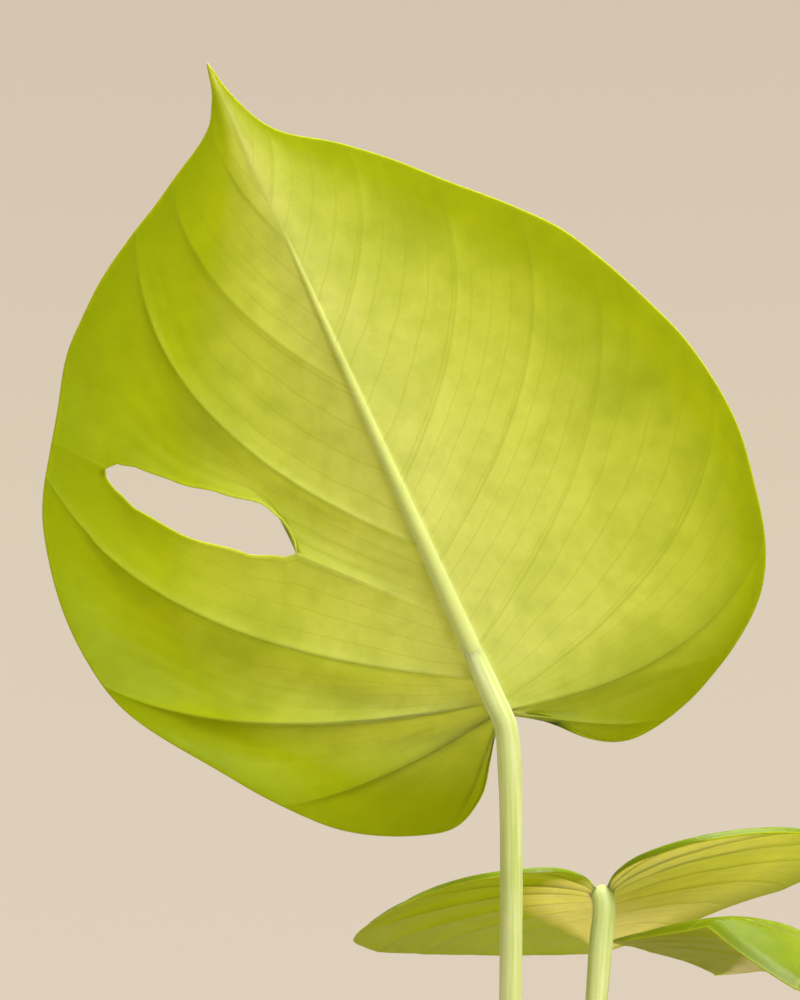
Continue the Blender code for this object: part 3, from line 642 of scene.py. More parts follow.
def tubeMesh(name, points, side, radiusAt, sides):
    # "fibre" keeps where each point would be on the straightened tube, so that streaks run along it
    rings, fibre, faces, run = [], [], [], 0.0
    frames = lineFrames(points, side)
    total = sum((b - a).length for a, b in zip(points, points[1:]))
    for index, (centre, across, up) in enumerate(frames):
        run += (centre - frames[index - 1][0]).length if index else 0.0
        for step in range(sides):
            angle = 2 * math.pi * step / sides
            radius = radiusAt(run, total, angle)
            rings.append(centre + (across * math.cos(angle) + up * math.sin(angle)) * radius)
            fibre.append((radius * math.cos(angle), radius * math.sin(angle), run))
    for index in range(len(frames) - 1):
        for step in range(sides):
            after = (step + 1) % sides
            low = index * sides
            faces.append((low + step, low + after, low + sides + after, low + sides + step))
    for end, centre in ((0, frames[0][0]), (len(frames) - 1, frames[-1][0])):
        rings.append(centre)
        fibre.append((0.0, 0.0, run if end else 0.0))
        for step in range(sides):
            a, b = end * sides + step, end * sides + (step + 1) % sides
            faces.append((a, b, len(rings) - 1) if end else (b, a, len(rings) - 1))
    mesh = bpy.data.meshes.new(name)
    mesh.from_pydata([tuple(p) for p in rings], [], faces)
    straightened = mesh.attributes.new("fibre", "FLOAT_VECTOR", "POINT")
    straightened.data.foreach_set("vector", np.array(fibre, np.float32).ravel())
    mesh.update()
    return mesh


plant = {
    "soilTop": 0.109, "stemRadius": 4.5 * mm, "stemTaper": 0.85, "planted": 22 * mm,
    "stems": {
        "stem_1": {"foot": (-0.0045, 0.004), "height": 0.050, "lean": (-0.002, 0.001)},
        "stem_2": {"foot": (0.021, 0.012), "height": 0.036, "lean": (0.003, 0.002)},
    },
    "spears": {
        "spear_1": {"stem": "stem_1", "length": 0.085, "radius": 3.0 * mm, "lean": (0.004, 0.016)},
        "spear_2": {"stem": "stem_2", "length": 0.048, "radius": 2.4 * mm, "lean": (0.006, -0.004)},
    },
    "stemLevels": 90, "stemSides": 48, "topRound": 2.2 * mm, "lump": (0.25 * mm, 7 * mm),
    "scar": {"below": 6 * mm, "half": 0.8 * mm, "out": 0.35 * mm},  # ring where a leaf stalk clasps the stem
    "spearTaper": [(0.0, 0.75), (0.15, 0.95), (0.35, 1.0), (0.55, 0.9), (0.75, 0.65), (0.9, 0.35),
                   (1.0, 0.08)],
    "spearLevels": 110, "spearSides": 96, "seamStart": 1.1, "seamTwist": 5.5, "seamWidth": 0.035,
    "overlap": 0.16,
}
stalks = {
    "leaf_1": {"stem": "stem_1", "node": 0.044, "side": 183, "splay": 0.02, "neck": 0.012,
               "arrive": (-0.30, 0.03, 0.95)},
    "leaf_2": {"stem": "stem_1", "node": 0.026, "side": 12, "splay": 0.0, "neck": 0.050,
               "arrive": (0.10, 0.12, 0.98)},
    "leaf_3": {"stem": "stem_2", "node": 0.030, "side": 20, "splay": 0.14, "neck": 0.050,
               "arrive": (0.20, 0.12, 0.97)},
    "leaf_4": {"stem": "stem_1", "node": 0.014, "side": 215, "splay": 0.16, "neck": 0.035,
               "arrive": (-0.56, -0.46, 0.62)},
    "leaf_5": {"stem": "stem_2", "node": 0.018, "side": 290, "splay": 0.16, "neck": 0.035,
               "arrive": (0.28, -0.66, 0.66)},
    "leaf_6": {"stem": "stem_1", "node": 0.032, "side": 110, "splay": 0.16, "neck": 0.035,
               "arrive": (-0.26, 0.68, 0.66)},
    "leaf_7": {"stem": "stem_2", "node": 0.010, "side": 82, "splay": 0.16, "neck": 0.035,
               "arrive": (0.62, 0.42, 0.62)},
}
stalkForm = {
    "radius": 2.5 * mm, "footWidening": 1.25, "footShare": 0.5, "rise": 0.42, "gap": 0.3 * mm,
    "bladeHalf": 0.4 * mm, "sides": 36, "step": 1.5 * mm, "sheathShare": 0.45, "wing": 0.16, "groove": 0.22,
    "sheathEase": 12 * mm,
    "knee": {"swell": 0.07, "below": 9 * mm, "half": 7 * mm},  # swollen just below the blade
    # where the stalk runs on into the midrib: along the blade, below it, and its radius there, in mm
    "joint": [(2.5, 2.4, 2.5), (7.0, 1.1, 2.45), (12.0, 0.2, 2.3), (18.0, -0.15, 2.15), (26.0, -0.45, 1.9),
              (33.0, -0.9, 1.7)],
    # the same where it meets the blade steeply
    "kneeJoint": [(-1.0, 0.9, 2.5), (2.5, 0.5, 1.9), (8.0, 1.2, 1.2), (14.0, 1.4, 0.6)],
    # where its foot clasps the stem: below its start, share of the way out from the stem's axis, radius share
    "clasp": [(9.0, 0.25, 0.75), (4.0, 0.72, 1.05)],
}


def stemAxis(stem, height):
    share = max(0.0, height / stem["height"])
    centre = Vector((*stem["foot"], plant["soilTop"] + height)) + Vector((*stem["lean"], 0.0)) * share
    return centre, plant["stemRadius"] * (1 + (plant["stemTaper"] - 1) * share)


def fromTable(table, share):
    for (a, low), (b, high) in zip(table, table[1:]):
        if share <= b:
            return low + (high - low) * smoothStep(a, b, share)
    return table[-1][1]


def stalkMesh(name, leaf, stalk):
    stem = plant["stems"][stalk["stem"]]
    axis, stemRadius = stemAxis(stem, stalk["node"])
    footRadius = stalkForm["radius"] * stalkForm["footWidening"]
    turn = math.radians(stalk["side"])
    outward = Vector((math.cos(turn), math.sin(turn), 0.0))
    foot = axis + outward * (stemRadius + footRadius + stalkForm["gap"])
    blade = bladeFrame(leaf)
    below = stalkForm["bladeHalf"] + stalkForm["radius"] + stalkForm["gap"]
    end = blade @ Vector((0.0, -stalkForm["radius"], -below))
    reach = (end - foot).length
    upward = (Vector((0, 0, 1)) + outward * stalk["splay"]).normalized()
    startHandle = foot + upward * reach * stalkForm["rise"]
    endHandle = end - Vector(stalk["arrive"]).normalized() * stalk["neck"]
    route, radii = [], []
    for below, out, radius in stalkForm["clasp"]:
        route.append(axis + outward * (stemRadius + footRadius) * out - Vector((0, 0, below * mm)))
        radii.append(footRadius * radius)
    for step in range(25):
        t = step / 24
        s = 1 - t
        route.append(foot * s**3 + startHandle * 3 * s**2 * t + endHandle * 3 * s * t**2 + end * t**3)
        radii.append(footRadius + (stalkForm["radius"] - footRadius) * min(1.0, t / stalkForm["footShare"]))
    steep = Vector(stalk["arrive"]).normalized().dot(blade.col[1].to_3d()) < 0.7
    for y, below, radius in stalkForm["kneeJoint" if steep else "joint"]:
        onBlade = liftPoint(leaf, 0, Vector((0.0, y * mm)), 0.0)
        route.append(blade @ (onBlade - Vector((0, 0, below * mm))))
        radii.append(radius * mm)
    # the radius is read along the same smooth curve as the route
    smooth = smoothLine([(*point, radius) for point, radius in zip(route, radii)], 8)
    line = MeasuredLine([point.to_3d() for point in smooth])
    thick = MeasuredLine(smooth)
    count = round(line.length / stalkForm["step"])
    points = [line.at(i / count) for i in range(count + 1)]
    widths = [thick.at(i / count)[3] for i in range(count + 1)]
    last = len(stalkForm["kneeJoint" if steep else "joint"]) + 1
    bladeRun = line.length - sum((b - a).length for a, b in zip(route[-last:], route[1 - last:]))

    def radiusAt(run, total, angle):
        width = widths[min(round(run / total * count), count)]
        sheath = 1 - smoothStep(0.6 * stalkForm["sheathShare"], stalkForm["sheathShare"], run / total)
        sheath *= smoothStep(0.0, stalkForm["sheathEase"], run)
        # 0 on the side toward the stem
        inner = math.atan2(math.sin(angle - math.pi), math.cos(angle - math.pi))
        wings = math.exp(-(((abs(inner) - 0.75) / 0.22) ** 2)) * stalkForm["wing"]
        channel = math.exp(-((inner / 0.5) ** 2)) * stalkForm["groove"]
        swell = stalkForm["knee"]
        knee = swell["swell"] * math.exp(-(((run - bladeRun + swell["below"]) / swell["half"]) ** 2))
        around = Vector((math.cos(angle) * 2.2, math.sin(angle) * 2.2, run / (9 * mm) + turn))
        return width * (1 + sheath * (wings - channel) + knee + 0.012 * noise.noise(around))

    mesh = tubeMesh(name, points, outward, radiusAt, stalkForm["sides"])
    if steep:
        return mesh
    intoBlade = blade.inverted()
    for vertex in mesh.vertices:  # where it lies along the midrib it stays under the blade's upper face
        spot = intoBlade @ vertex.co
        if spot.y > 0:
            flat = spot.to_2d()
            groove = -leafForm["groove"] * midribAt(leaf, flat)
            spot.z = min(spot.z, liftPoint(leaf, int(flat.x < 0), flat, groove).z)
            vertex.co = blade @ spot
    return mesh


# Leaf stalk: watery tissue under a waxy skin, with fine lengthwise fibres. Satin with a soft bright streak.
stalkSkin, tree, skin = newMaterial("leafStalkSkin")
fibre = addNode(tree, "ShaderNodeAttribute", attribute_name="fibre").outputs["Vector"]
alongFibre = addNode(tree, "ShaderNodeVectorMath", {1: (1 / (0.9 * mm), 1 / (0.9 * mm), 1 / (26 * mm))},
                     {0: fibre}, operation="MULTIPLY").outputs[0]
streak = addNode(tree, "ShaderNodeTexNoise", {"Scale": 1.0, "Detail": 3.0}, {"Vector": alongFibre})
colour = addNode(tree, "ShaderNodeValToRGB", links={"Fac": streak.outputs["Fac"]},
                 stops=[(0.28, "#cee27c"), (0.5, "#e0f0a2"), (0.74, "#f2fad0")])
blotch = addNode(tree, "ShaderNodeTexNoise", {"Scale": 1 / (18 * mm)}, {"Vector": fibre})
amount = addNode(tree, "ShaderNodeMapRange", {"From Min": 0.45, "From Max": 0.75, "To Max": 0.35},
                 {"Value": blotch.outputs["Fac"]})
colour = addNode(tree, "ShaderNodeMix", {"B": hexColour("#aeca50")},
                 {"Factor": amount.outputs[0], "A": colour.outputs["Color"]},
                 data_type="RGBA").outputs["Result"]
tree.links.new(colour, skin.inputs["Base Color"])
pores = addNode(tree, "ShaderNodeTexNoise", {"Scale": 1 / (0.5 * mm)}, {"Vector": fibre})
height = addNode(tree, "ShaderNodeMath", {1: 0.4}, {0: pores.outputs["Fac"], 2: streak.outputs["Fac"]},
                 operation="MULTIPLY_ADD")
bump = addNode(tree, "ShaderNodeBump", {"Strength": 0.3, "Distance": 0.08 * mm},
               {"Height": height.outputs[0]})
tree.links.new(bump.outputs[0], skin.inputs["Normal"])
gloss = addNode(tree, "ShaderNodeMapRange", {"To Min": 0.32, "To Max": 0.46},
                {"Value": blotch.outputs["Fac"]})
tree.links.new(gloss.outputs[0], skin.inputs["Roughness"])
skin.inputs["IOR"].default_value = 1.42
skin.inputs["Subsurface Weight"].default_value = 0.7
skin.inputs["Subsurface Radius"].default_value = (0.95, 1.0, 0.4)
skin.inputs["Subsurface Scale"].default_value = 1.2 * mm

for name, leaf in leaves.items():
    mesh = stalkMesh(f"{name}_stalk", leaf, stalks[name])
    mesh.materials.append(stalkSkin)
    addPiece(mesh, f"{name}_petiole")
print("stalks made")


# Short shoot: fleshy green stem with ringed leaf scars, browner and corkier near the soil.
stemSkin, tree, skin = newMaterial("stemSkin")
fibre = addNode(tree, "ShaderNodeAttribute", attribute_name="fibre").outputs["Vector"]
up = addNode(tree, "ShaderNodeSeparateXYZ", links={"Vector": fibre}).outputs["Z"]
blotch = addNode(tree, "ShaderNodeTexNoise", {"Scale": 1 / (3.5 * mm)}, {"Vector": fibre})
climb = addNode(tree, "ShaderNodeMapRange",
                {"From Min": plant["planted"], "From Max": plant["planted"] + 22 * mm, "To Max": 0.6},
                {"Value": up})
mixed = addNode(tree, "ShaderNodeMath", {1: 0.7}, {0: blotch.outputs["Fac"], 2: climb.outputs[0]},
                operation="MULTIPLY_ADD")
colour = addNode(tree, "ShaderNodeValToRGB", links={"Fac": mixed.outputs[0]},
                 stops=[(0.2, "#6d5a33"), (0.45, "#8a7f3e"), (0.62, "#8d9a3c"), (0.9, "#a3b54a")])
tree.links.new(colour.outputs["Color"], skin.inputs["Base Color"])
cork = addNode(tree, "ShaderNodeTexNoise", {"Scale": 1 / (0.9 * mm)}, {"Vector": fibre})
bump = addNode(tree, "ShaderNodeBump", {"Strength": 0.5, "Distance": 0.25 * mm},
               {"Height": cork.outputs["Fac"]})
tree.links.new(bump.outputs[0], skin.inputs["Normal"])
skin.inputs["Roughness"].default_value = 0.55
skin.inputs["Subsurface Weight"].default_value = 0.15
skin.inputs["Subsurface Scale"].default_value = 1.0 * mm

for name, stem in plant["stems"].items():
    levels = plant["stemLevels"]
    span = stem["height"] + plant["planted"]
    scars = [stalk["node"] for stalk in stalks.values() if stalk["stem"] == name]
    heights = [-plant["planted"] + span * i / levels for i in range(levels + 1)]
    points = [stemAxis(stem, height)[0] for height in heights]

    def stemRadiusAt(run, total, angle):
        height = run / total * span - plant["planted"]
        radius = stemAxis(stem, height)[1]
        for scar in scars:
            off = (height - scar + plant["scar"]["below"]) / plant["scar"]["half"]
            radius += plant["scar"]["out"] * math.exp(-(off**2))
        lump, lumpSize = plant["lump"]
        radius += lump * noise.noise(Vector((math.cos(angle) * 1.4, math.sin(angle) * 1.4,
                                             height / lumpSize)))
        intoTop = max(0.0, 1 - (stem["height"] - height) / plant["topRound"])
        return radius * max(0.3, math.sqrt(max(0.0, 1 - intoTop**2)))

    mesh = tubeMesh(f"{name}_shoot", points, Vector((1, 0, 0)), stemRadiusAt, plant["stemSides"])
    mesh.materials.append(stemSkin)
    addPiece(mesh, name)

for name, spear in plant["spears"].items():
    stem = plant["stems"][spear["stem"]]
    foot = stemAxis(stem, stem["height"])[0]
    levels = plant["spearLevels"]
    rise, lean = Vector((0, 0, spear["length"])), Vector((*spear["lean"], 0))
    points = [foot + rise * (i / levels) + lean * (i / levels) ** 2 for i in range(levels + 1)]

    def rolledRadiusAt(run, total, angle):
        share = run / total
        width = spear["radius"] * fromTable(plant["spearTaper"], share)
        seam = (angle - plant["seamStart"] - share * plant["seamTwist"]) / (2 * math.pi)
        wrapped = seam - math.floor(seam)
        step = smoothStep(0.0, plant["seamWidth"], wrapped)
        return width * (0.86 + plant["overlap"] * wrapped * step + plant["overlap"] * (1 - step))

    mesh = tubeMesh(f"{name}_rolled_leaf", points, Vector((1, 0, 0)), rolledRadiusAt, plant["spearSides"])
    mesh.materials.append(stalkSkin)
    addPiece(mesh, name)
print("stems and rolled leaves made")


# ---- pot

potForm = {
    "height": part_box("pot")[1][2], "rimRadius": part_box("pot")[1][0], "baseRadius": 47 * mm,
    "wall": 6 * mm, "floor": 9 * mm, "segments": 192,
    "collarHeight": 30 * mm, "collarStep": 3.5 * mm, "collarTaper": 0.03,
    "drains": 4, "drainRadius": 5 * mm, "drainRing": 24 * mm, "drainSegments": 40,
    "drainFlare": (1.12, 0.92), "cutterDepth": 30 * mm,
    "ringDepth": 0.07 * mm, "ringWidth": 1.6 * mm, "sway": 0.25 * mm, "sharpAngle": math.radians(50),
}


def roundedLine(corners, steps=6, longest=2.5 * mm):
    # corners are (radius, height, rounding); each rounding becomes an arc, and long stretches are divided
    points = []
    for index, (radius, height, rounding) in enumerate(corners):
        corner = Vector((radius, height))
        if not rounding:
            points.append(corner)
            continue
        before = Vector(corners[index - 1][:2])
        after = Vector(corners[index + 1][:2])
        start = corner + (before - corner).normalized() * rounding
        end = corner + (after - corner).normalized() * rounding
        for step in range(steps + 1):
            t = step / steps
            points.append(start * (1 - t) ** 2 + corner * 2 * t * (1 - t) + end * t**2)
    line = [points[0]]
    for a, b in zip(points, points[1:]):
        parts = max(1, math.ceil((b - a).length / longest))
        line += [a.lerp(b, step / parts) for step in range(1, parts + 1)]
    return line


def turnedMesh(name, line, segments, shape):
    # turns a line of (radius, height) round Z; shape(radius, height, angle) gives the finished point
    points, rings, faces = [], [], []
    for radius, height in line:
        if radius < 1e-6:
            points.append(Vector((0.0, 0.0, shape(0.0, height, 0.0).z)))
            rings.append([len(points) - 1] * segments)
            continue
        rings.append(list(range(len(points), len(points) + segments)))
        points += [shape(radius, height, 2 * math.pi * step / segments) for step in range(segments)]
    for low, high in zip(rings, rings[1:]):
        for step in range(segments):
            after = (step + 1) % segments
            corners = list(dict.fromkeys((low[step], low[after], high[after], high[step])))
            if len(corners) > 2:
                faces.append(corners)
    mesh = bpy.data.meshes.new(name)
    mesh.from_pydata([tuple(p) for p in points], [], faces)
    return mesh


def potWall(height):
    top = potForm["rimRadius"] - potForm["collarStep"]
    return potForm["baseRadius"] + (top - potForm["baseRadius"]) * height / potForm["height"]


def thrownPoint(radius, height, angle):  # faint turning rings and a wall that is not quite round
    share = smoothStep(2 * mm, 8 * mm, height)
    ring = noise.noise(Vector((height / potForm["ringWidth"], math.cos(angle) * 0.25,
                               math.sin(angle) * 0.25)))
    sway = noise.noise(Vector((math.cos(angle) * 0.8, math.sin(angle) * 0.8, height * 9)))
    radius += (ring * potForm["ringDepth"] + sway * potForm["sway"]) * share
    return Vector((radius * math.cos(angle), radius * math.sin(angle), height))


collarFoot = potForm["height"] - potForm["collarHeight"]
collarRadius = potForm["rimRadius"] - potForm["collarHeight"] * potForm["collarTaper"]
rimInner = potWall(potForm["height"]) - potForm["wall"]
potLine = roundedLine([
    (0.0, 0.0, 0), (potForm["baseRadius"], 0.0, 2.2 * mm), (potWall(collarFoot), collarFoot, 1.0 * mm),
    (collarRadius, collarFoot + 0.4 * mm, 1.6 * mm),
    (potForm["rimRadius"], potForm["height"], 2.4 * mm), (rimInner, potForm["height"], 2.4 * mm),
    (potWall(potForm["floor"]) - potForm["wall"], potForm["floor"], 3 * mm), (0.0, potForm["floor"], 0),
])
mesh = turnedMesh("clay_pot", potLine, potForm["segments"], thrownPoint)
pot = bpy.data.objects.new("clay_pot", mesh)
bpy.context.scene.collection.objects.link(pot)
cutterMesh = bpy.data.meshes.new("drainCutters")
cutter = bmesh.new()
for hole in range(potForm["drains"]):
    angle = 2 * math.pi * (hole + 0.5) / potForm["drains"]
    spot = Vector((math.cos(angle), math.sin(angle), 0)) * potForm["drainRing"]
    wide, narrow = (potForm["drainRadius"] * flare for flare in potForm["drainFlare"])
    bmesh.ops.create_cone(cutter, cap_ends=True, segments=potForm["drainSegments"], radius1=wide,
                          radius2=narrow, depth=potForm["cutterDepth"], matrix=Matrix.Translation(spot))
cutter.to_mesh(cutterMesh)
cutter.free()
drainCutters = bpy.data.objects.new("drainCutters", cutterMesh)
bpy.context.scene.collection.objects.link(drainCutters)
cut = pot.modifiers.new("drainHoles", "BOOLEAN")
cut.operation, cut.solver, cut.object = "DIFFERENCE", "EXACT", drainCutters
drilled = bpy.data.meshes.new_from_object(pot.evaluated_get(bpy.context.evaluated_depsgraph_get()))
bpy.data.objects.remove(pot)
bpy.data.objects.remove(drainCutters)
drilled.name = "clay_pot_drilled"

# Terracotta: low-fired red clay, turned and left unglazed. Dry and matt, with sandy grit, faint turning
# lines, uneven fire colour and a chalky bloom of lime where water has dried.
clay, tree, skin = newMaterial("unglazedTerracotta")
place = addNode(tree, "ShaderNodeTexCoord").outputs["Object"]
fire = addNode(tree, "ShaderNodeTexNoise", {"Scale": 1 / (38 * mm)}, {"Vector": place})
body = addNode(tree, "ShaderNodeValToRGB", links={"Fac": fire.outputs["Fac"]},
               stops=[(0.25, "#a4553a"), (0.5, "#b9694a"), (0.75, "#c98261")]).outputs["Color"]
speck = addNode(tree, "ShaderNodeTexNoise", {"Scale": 1 / (1.2 * mm)}, {"Vector": place})
speckAmount = addNode(tree, "ShaderNodeMapRange", {"From Min": 0.55, "From Max": 0.75, "To Max": 0.35},
                      {"Value": speck.outputs["Fac"]})
body = addNode(tree, "ShaderNodeMix", {"B": hexColour("#8c4a33")},
               {"Factor": speckAmount.outputs[0], "A": body}, data_type="RGBA").outputs["Result"]
height = addNode(tree, "ShaderNodeSeparateXYZ", links={"Vector": place}).outputs["Z"]
cloudy = addNode(tree, "ShaderNodeTexNoise", {"Scale": 1 / (16 * mm)}, {"Vector": place})
low = addNode(tree, "ShaderNodeMapRange",
              {"From Min": 0.0, "From Max": 45 * mm, "To Min": 0.22, "To Max": 0.0}, {"Value": height})
high = addNode(tree, "ShaderNodeMapRange",
               {"From Min": 95 * mm, "From Max": 122 * mm, "To Min": 0.0, "To Max": 0.12}, {"Value": height})
edges = addNode(tree, "ShaderNodeMath", links={0: low.outputs[0], 1: high.outputs[0]}, operation="ADD")
salted = addNode(tree, "ShaderNodeMath", links={0: cloudy.outputs["Fac"], 1: edges.outputs[0]},
                 operation="ADD")
bloom = addNode(tree, "ShaderNodeMapRange", {"From Min": 0.56, "From Max": 0.86, "To Max": 0.6},
                {"Value": salted.outputs[0]})
body = addNode(tree, "ShaderNodeMix", {"B": hexColour("#ddc3ae")}, {"Factor": bloom.outputs[0], "A": body},
               data_type="RGBA").outputs["Result"]
tree.links.new(body, skin.inputs["Base Color"])
turning = addNode(tree, "ShaderNodeVectorMath", {1: (4.0, 4.0, 1 / (0.8 * mm))}, {0: place},
                  operation="MULTIPLY").outputs[0]
turningLines = addNode(tree, "ShaderNodeTexNoise", {"Scale": 1.0, "Detail": 2.0}, {"Vector": turning})
grit = addNode(tree, "ShaderNodeTexNoise", {"Scale": 1 / (0.5 * mm)}, {"Vector": place})
rough = addNode(tree, "ShaderNodeMath", {1: 0.8}, {0: turningLines.outputs["Fac"], 2: grit.outputs["Fac"]},
                operation="MULTIPLY_ADD")
bump = addNode(tree, "ShaderNodeBump", {"Strength": 0.45, "Distance": 0.2 * mm},
               {"Height": rough.outputs[0]})
tree.links.new(bump.outputs[0], skin.inputs["Normal"])
dry = addNode(tree, "ShaderNodeMapRange", {"To Min": 0.78, "To Max": 0.95}, {"Value": cloudy.outputs["Fac"]})
tree.links.new(dry.outputs[0], skin.inputs["Roughness"])
drilled.materials.append(clay)
addPiece(drilled, "pot")
drilled.set_sharp_from_angle(angle=potForm["sharpAngle"])
print("pot made")


# ---- soil

soilForm = {
    "low": 9.3 * mm, "top": plant["soilTop"], "crown": 3 * mm, "wallGap": 0.4 * mm, "segments": 150,
    "domeRings": 46, "lump": (1.3 * mm, 14 * mm), "crumb": (0.7 * mm, 3.2 * mm), "settled": 0.6 * mm,
}


def soilPoint(radius, height, angle):
    x, y = radius * math.cos(angle), radius * math.sin(angle)
    onTop = smoothStep(soilForm["top"] - 12 * mm, soilForm["top"] - 6 * mm, height)
    uplift = 0.0
    for (deep, across), layer in ((soilForm["lump"], 2.0), (soilForm["crumb"], 5.0)):
        uplift += noise.noise(Vector((x / across, y / across, layer))) * deep
    return Vector((x, y, height + (uplift - soilForm["settled"]) * onTop))


def soilRadius(height):
    return potWall(height) - potForm["wall"] - soilForm["wallGap"]


edge = soilForm["top"] - soilForm["crown"]
soilLine = [(0.0, soilForm["low"]), (soilRadius(soilForm["low"]) - 2 * mm, soilForm["low"]),
            (soilRadius(soilForm["low"] + 2 * mm), soilForm["low"] + 2 * mm)]
soilLine += [(soilRadius(edge - down * mm), edge - down * mm) for down in (14, 8, 5, 3, 1.5)]
for ring in range(soilForm["domeRings"] + 1):
    share = 1 - ring / soilForm["domeRings"]
    soilLine.append((soilRadius(edge) * share, edge + soilForm["crown"] * (1 - share**2.6)))
bedMesh = turnedMesh("soil_bed", soilLine, soilForm["segments"], soilPoint)

# Potting soil: moist peat and compost. Nearly black-brown, crumbly, no shine.
peat, tree, skin = newMaterial("moistPeat")
place = addNode(tree, "ShaderNodeTexCoord").outputs["Object"]
tone = addNode(tree, "ShaderNodeTexNoise", {"Scale": 1 / (5 * mm)}, {"Vector": place})
colour = addNode(tree, "ShaderNodeValToRGB", links={"Fac": tone.outputs["Fac"]},
                 stops=[(0.3, "#2a1e16"), (0.5, "#3d2c20"), (0.72, "#5b4431")])
tree.links.new(colour.outputs["Color"], skin.inputs["Base Color"])
crumbs = addNode(tree, "ShaderNodeTexNoise", {"Scale": 1 / (0.9 * mm)}, {"Vector": place})
bump = addNode(tree, "ShaderNodeBump", {"Strength": 0.8, "Distance": 0.5 * mm},
               {"Height": crumbs.outputs["Fac"]})
tree.links.new(bump.outputs[0], skin.inputs["Normal"])
skin.inputs["Roughness"].default_value = 0.95
skin.inputs["Specular IOR Level"].default_value = 0.3
bedMesh.materials.append(peat)

# Pine bark: shredded, with long grain. Perlite: white expanded volcanic glass, popped and pitted.
bark, tree, skin = newMaterial("shreddedPineBark")
place = addNode(tree, "ShaderNodeTexCoord").outputs["Object"]
grain = addNode(tree, "ShaderNodeTexNoise", {"Scale": 1 / (1.6 * mm)}, {"Vector": place})
colour = addNode(tree, "ShaderNodeValToRGB", links={"Fac": grain.outputs["Fac"]},
                 stops=[(0.3, "#4a3020"), (0.55, "#75502f"), (0.75, "#93693f")])
tree.links.new(colour.outputs["Color"], skin.inputs["Base Color"])
bump = addNode(tree, "ShaderNodeBump", {"Strength": 0.6, "Distance": 0.3 * mm},
               {"Height": grain.outputs["Fac"]})
tree.links.new(bump.outputs[0], skin.inputs["Normal"])
skin.inputs["Roughness"].default_value = 0.85

perlite, tree, skin = newMaterial("expandedPerlite")
place = addNode(tree, "ShaderNodeTexCoord").outputs["Object"]
pits = addNode(tree, "ShaderNodeTexNoise", {"Scale": 1 / (0.7 * mm)}, {"Vector": place})
colour = addNode(tree, "ShaderNodeValToRGB", links={"Fac": pits.outputs["Fac"]},
                 stops=[(0.3, "#b8aa97"), (0.5, "#e6e1d6"), (0.8, "#f3f0e8")])
tree.links.new(colour.outputs["Color"], skin.inputs["Base Color"])
bump = addNode(tree, "ShaderNodeBump", {"Strength": 0.7, "Distance": 0.3 * mm},
               {"Height": pits.outputs["Fac"]})
tree.links.new(bump.outputs[0], skin.inputs["Normal"])
skin.inputs["Roughness"].default_value = 0.9


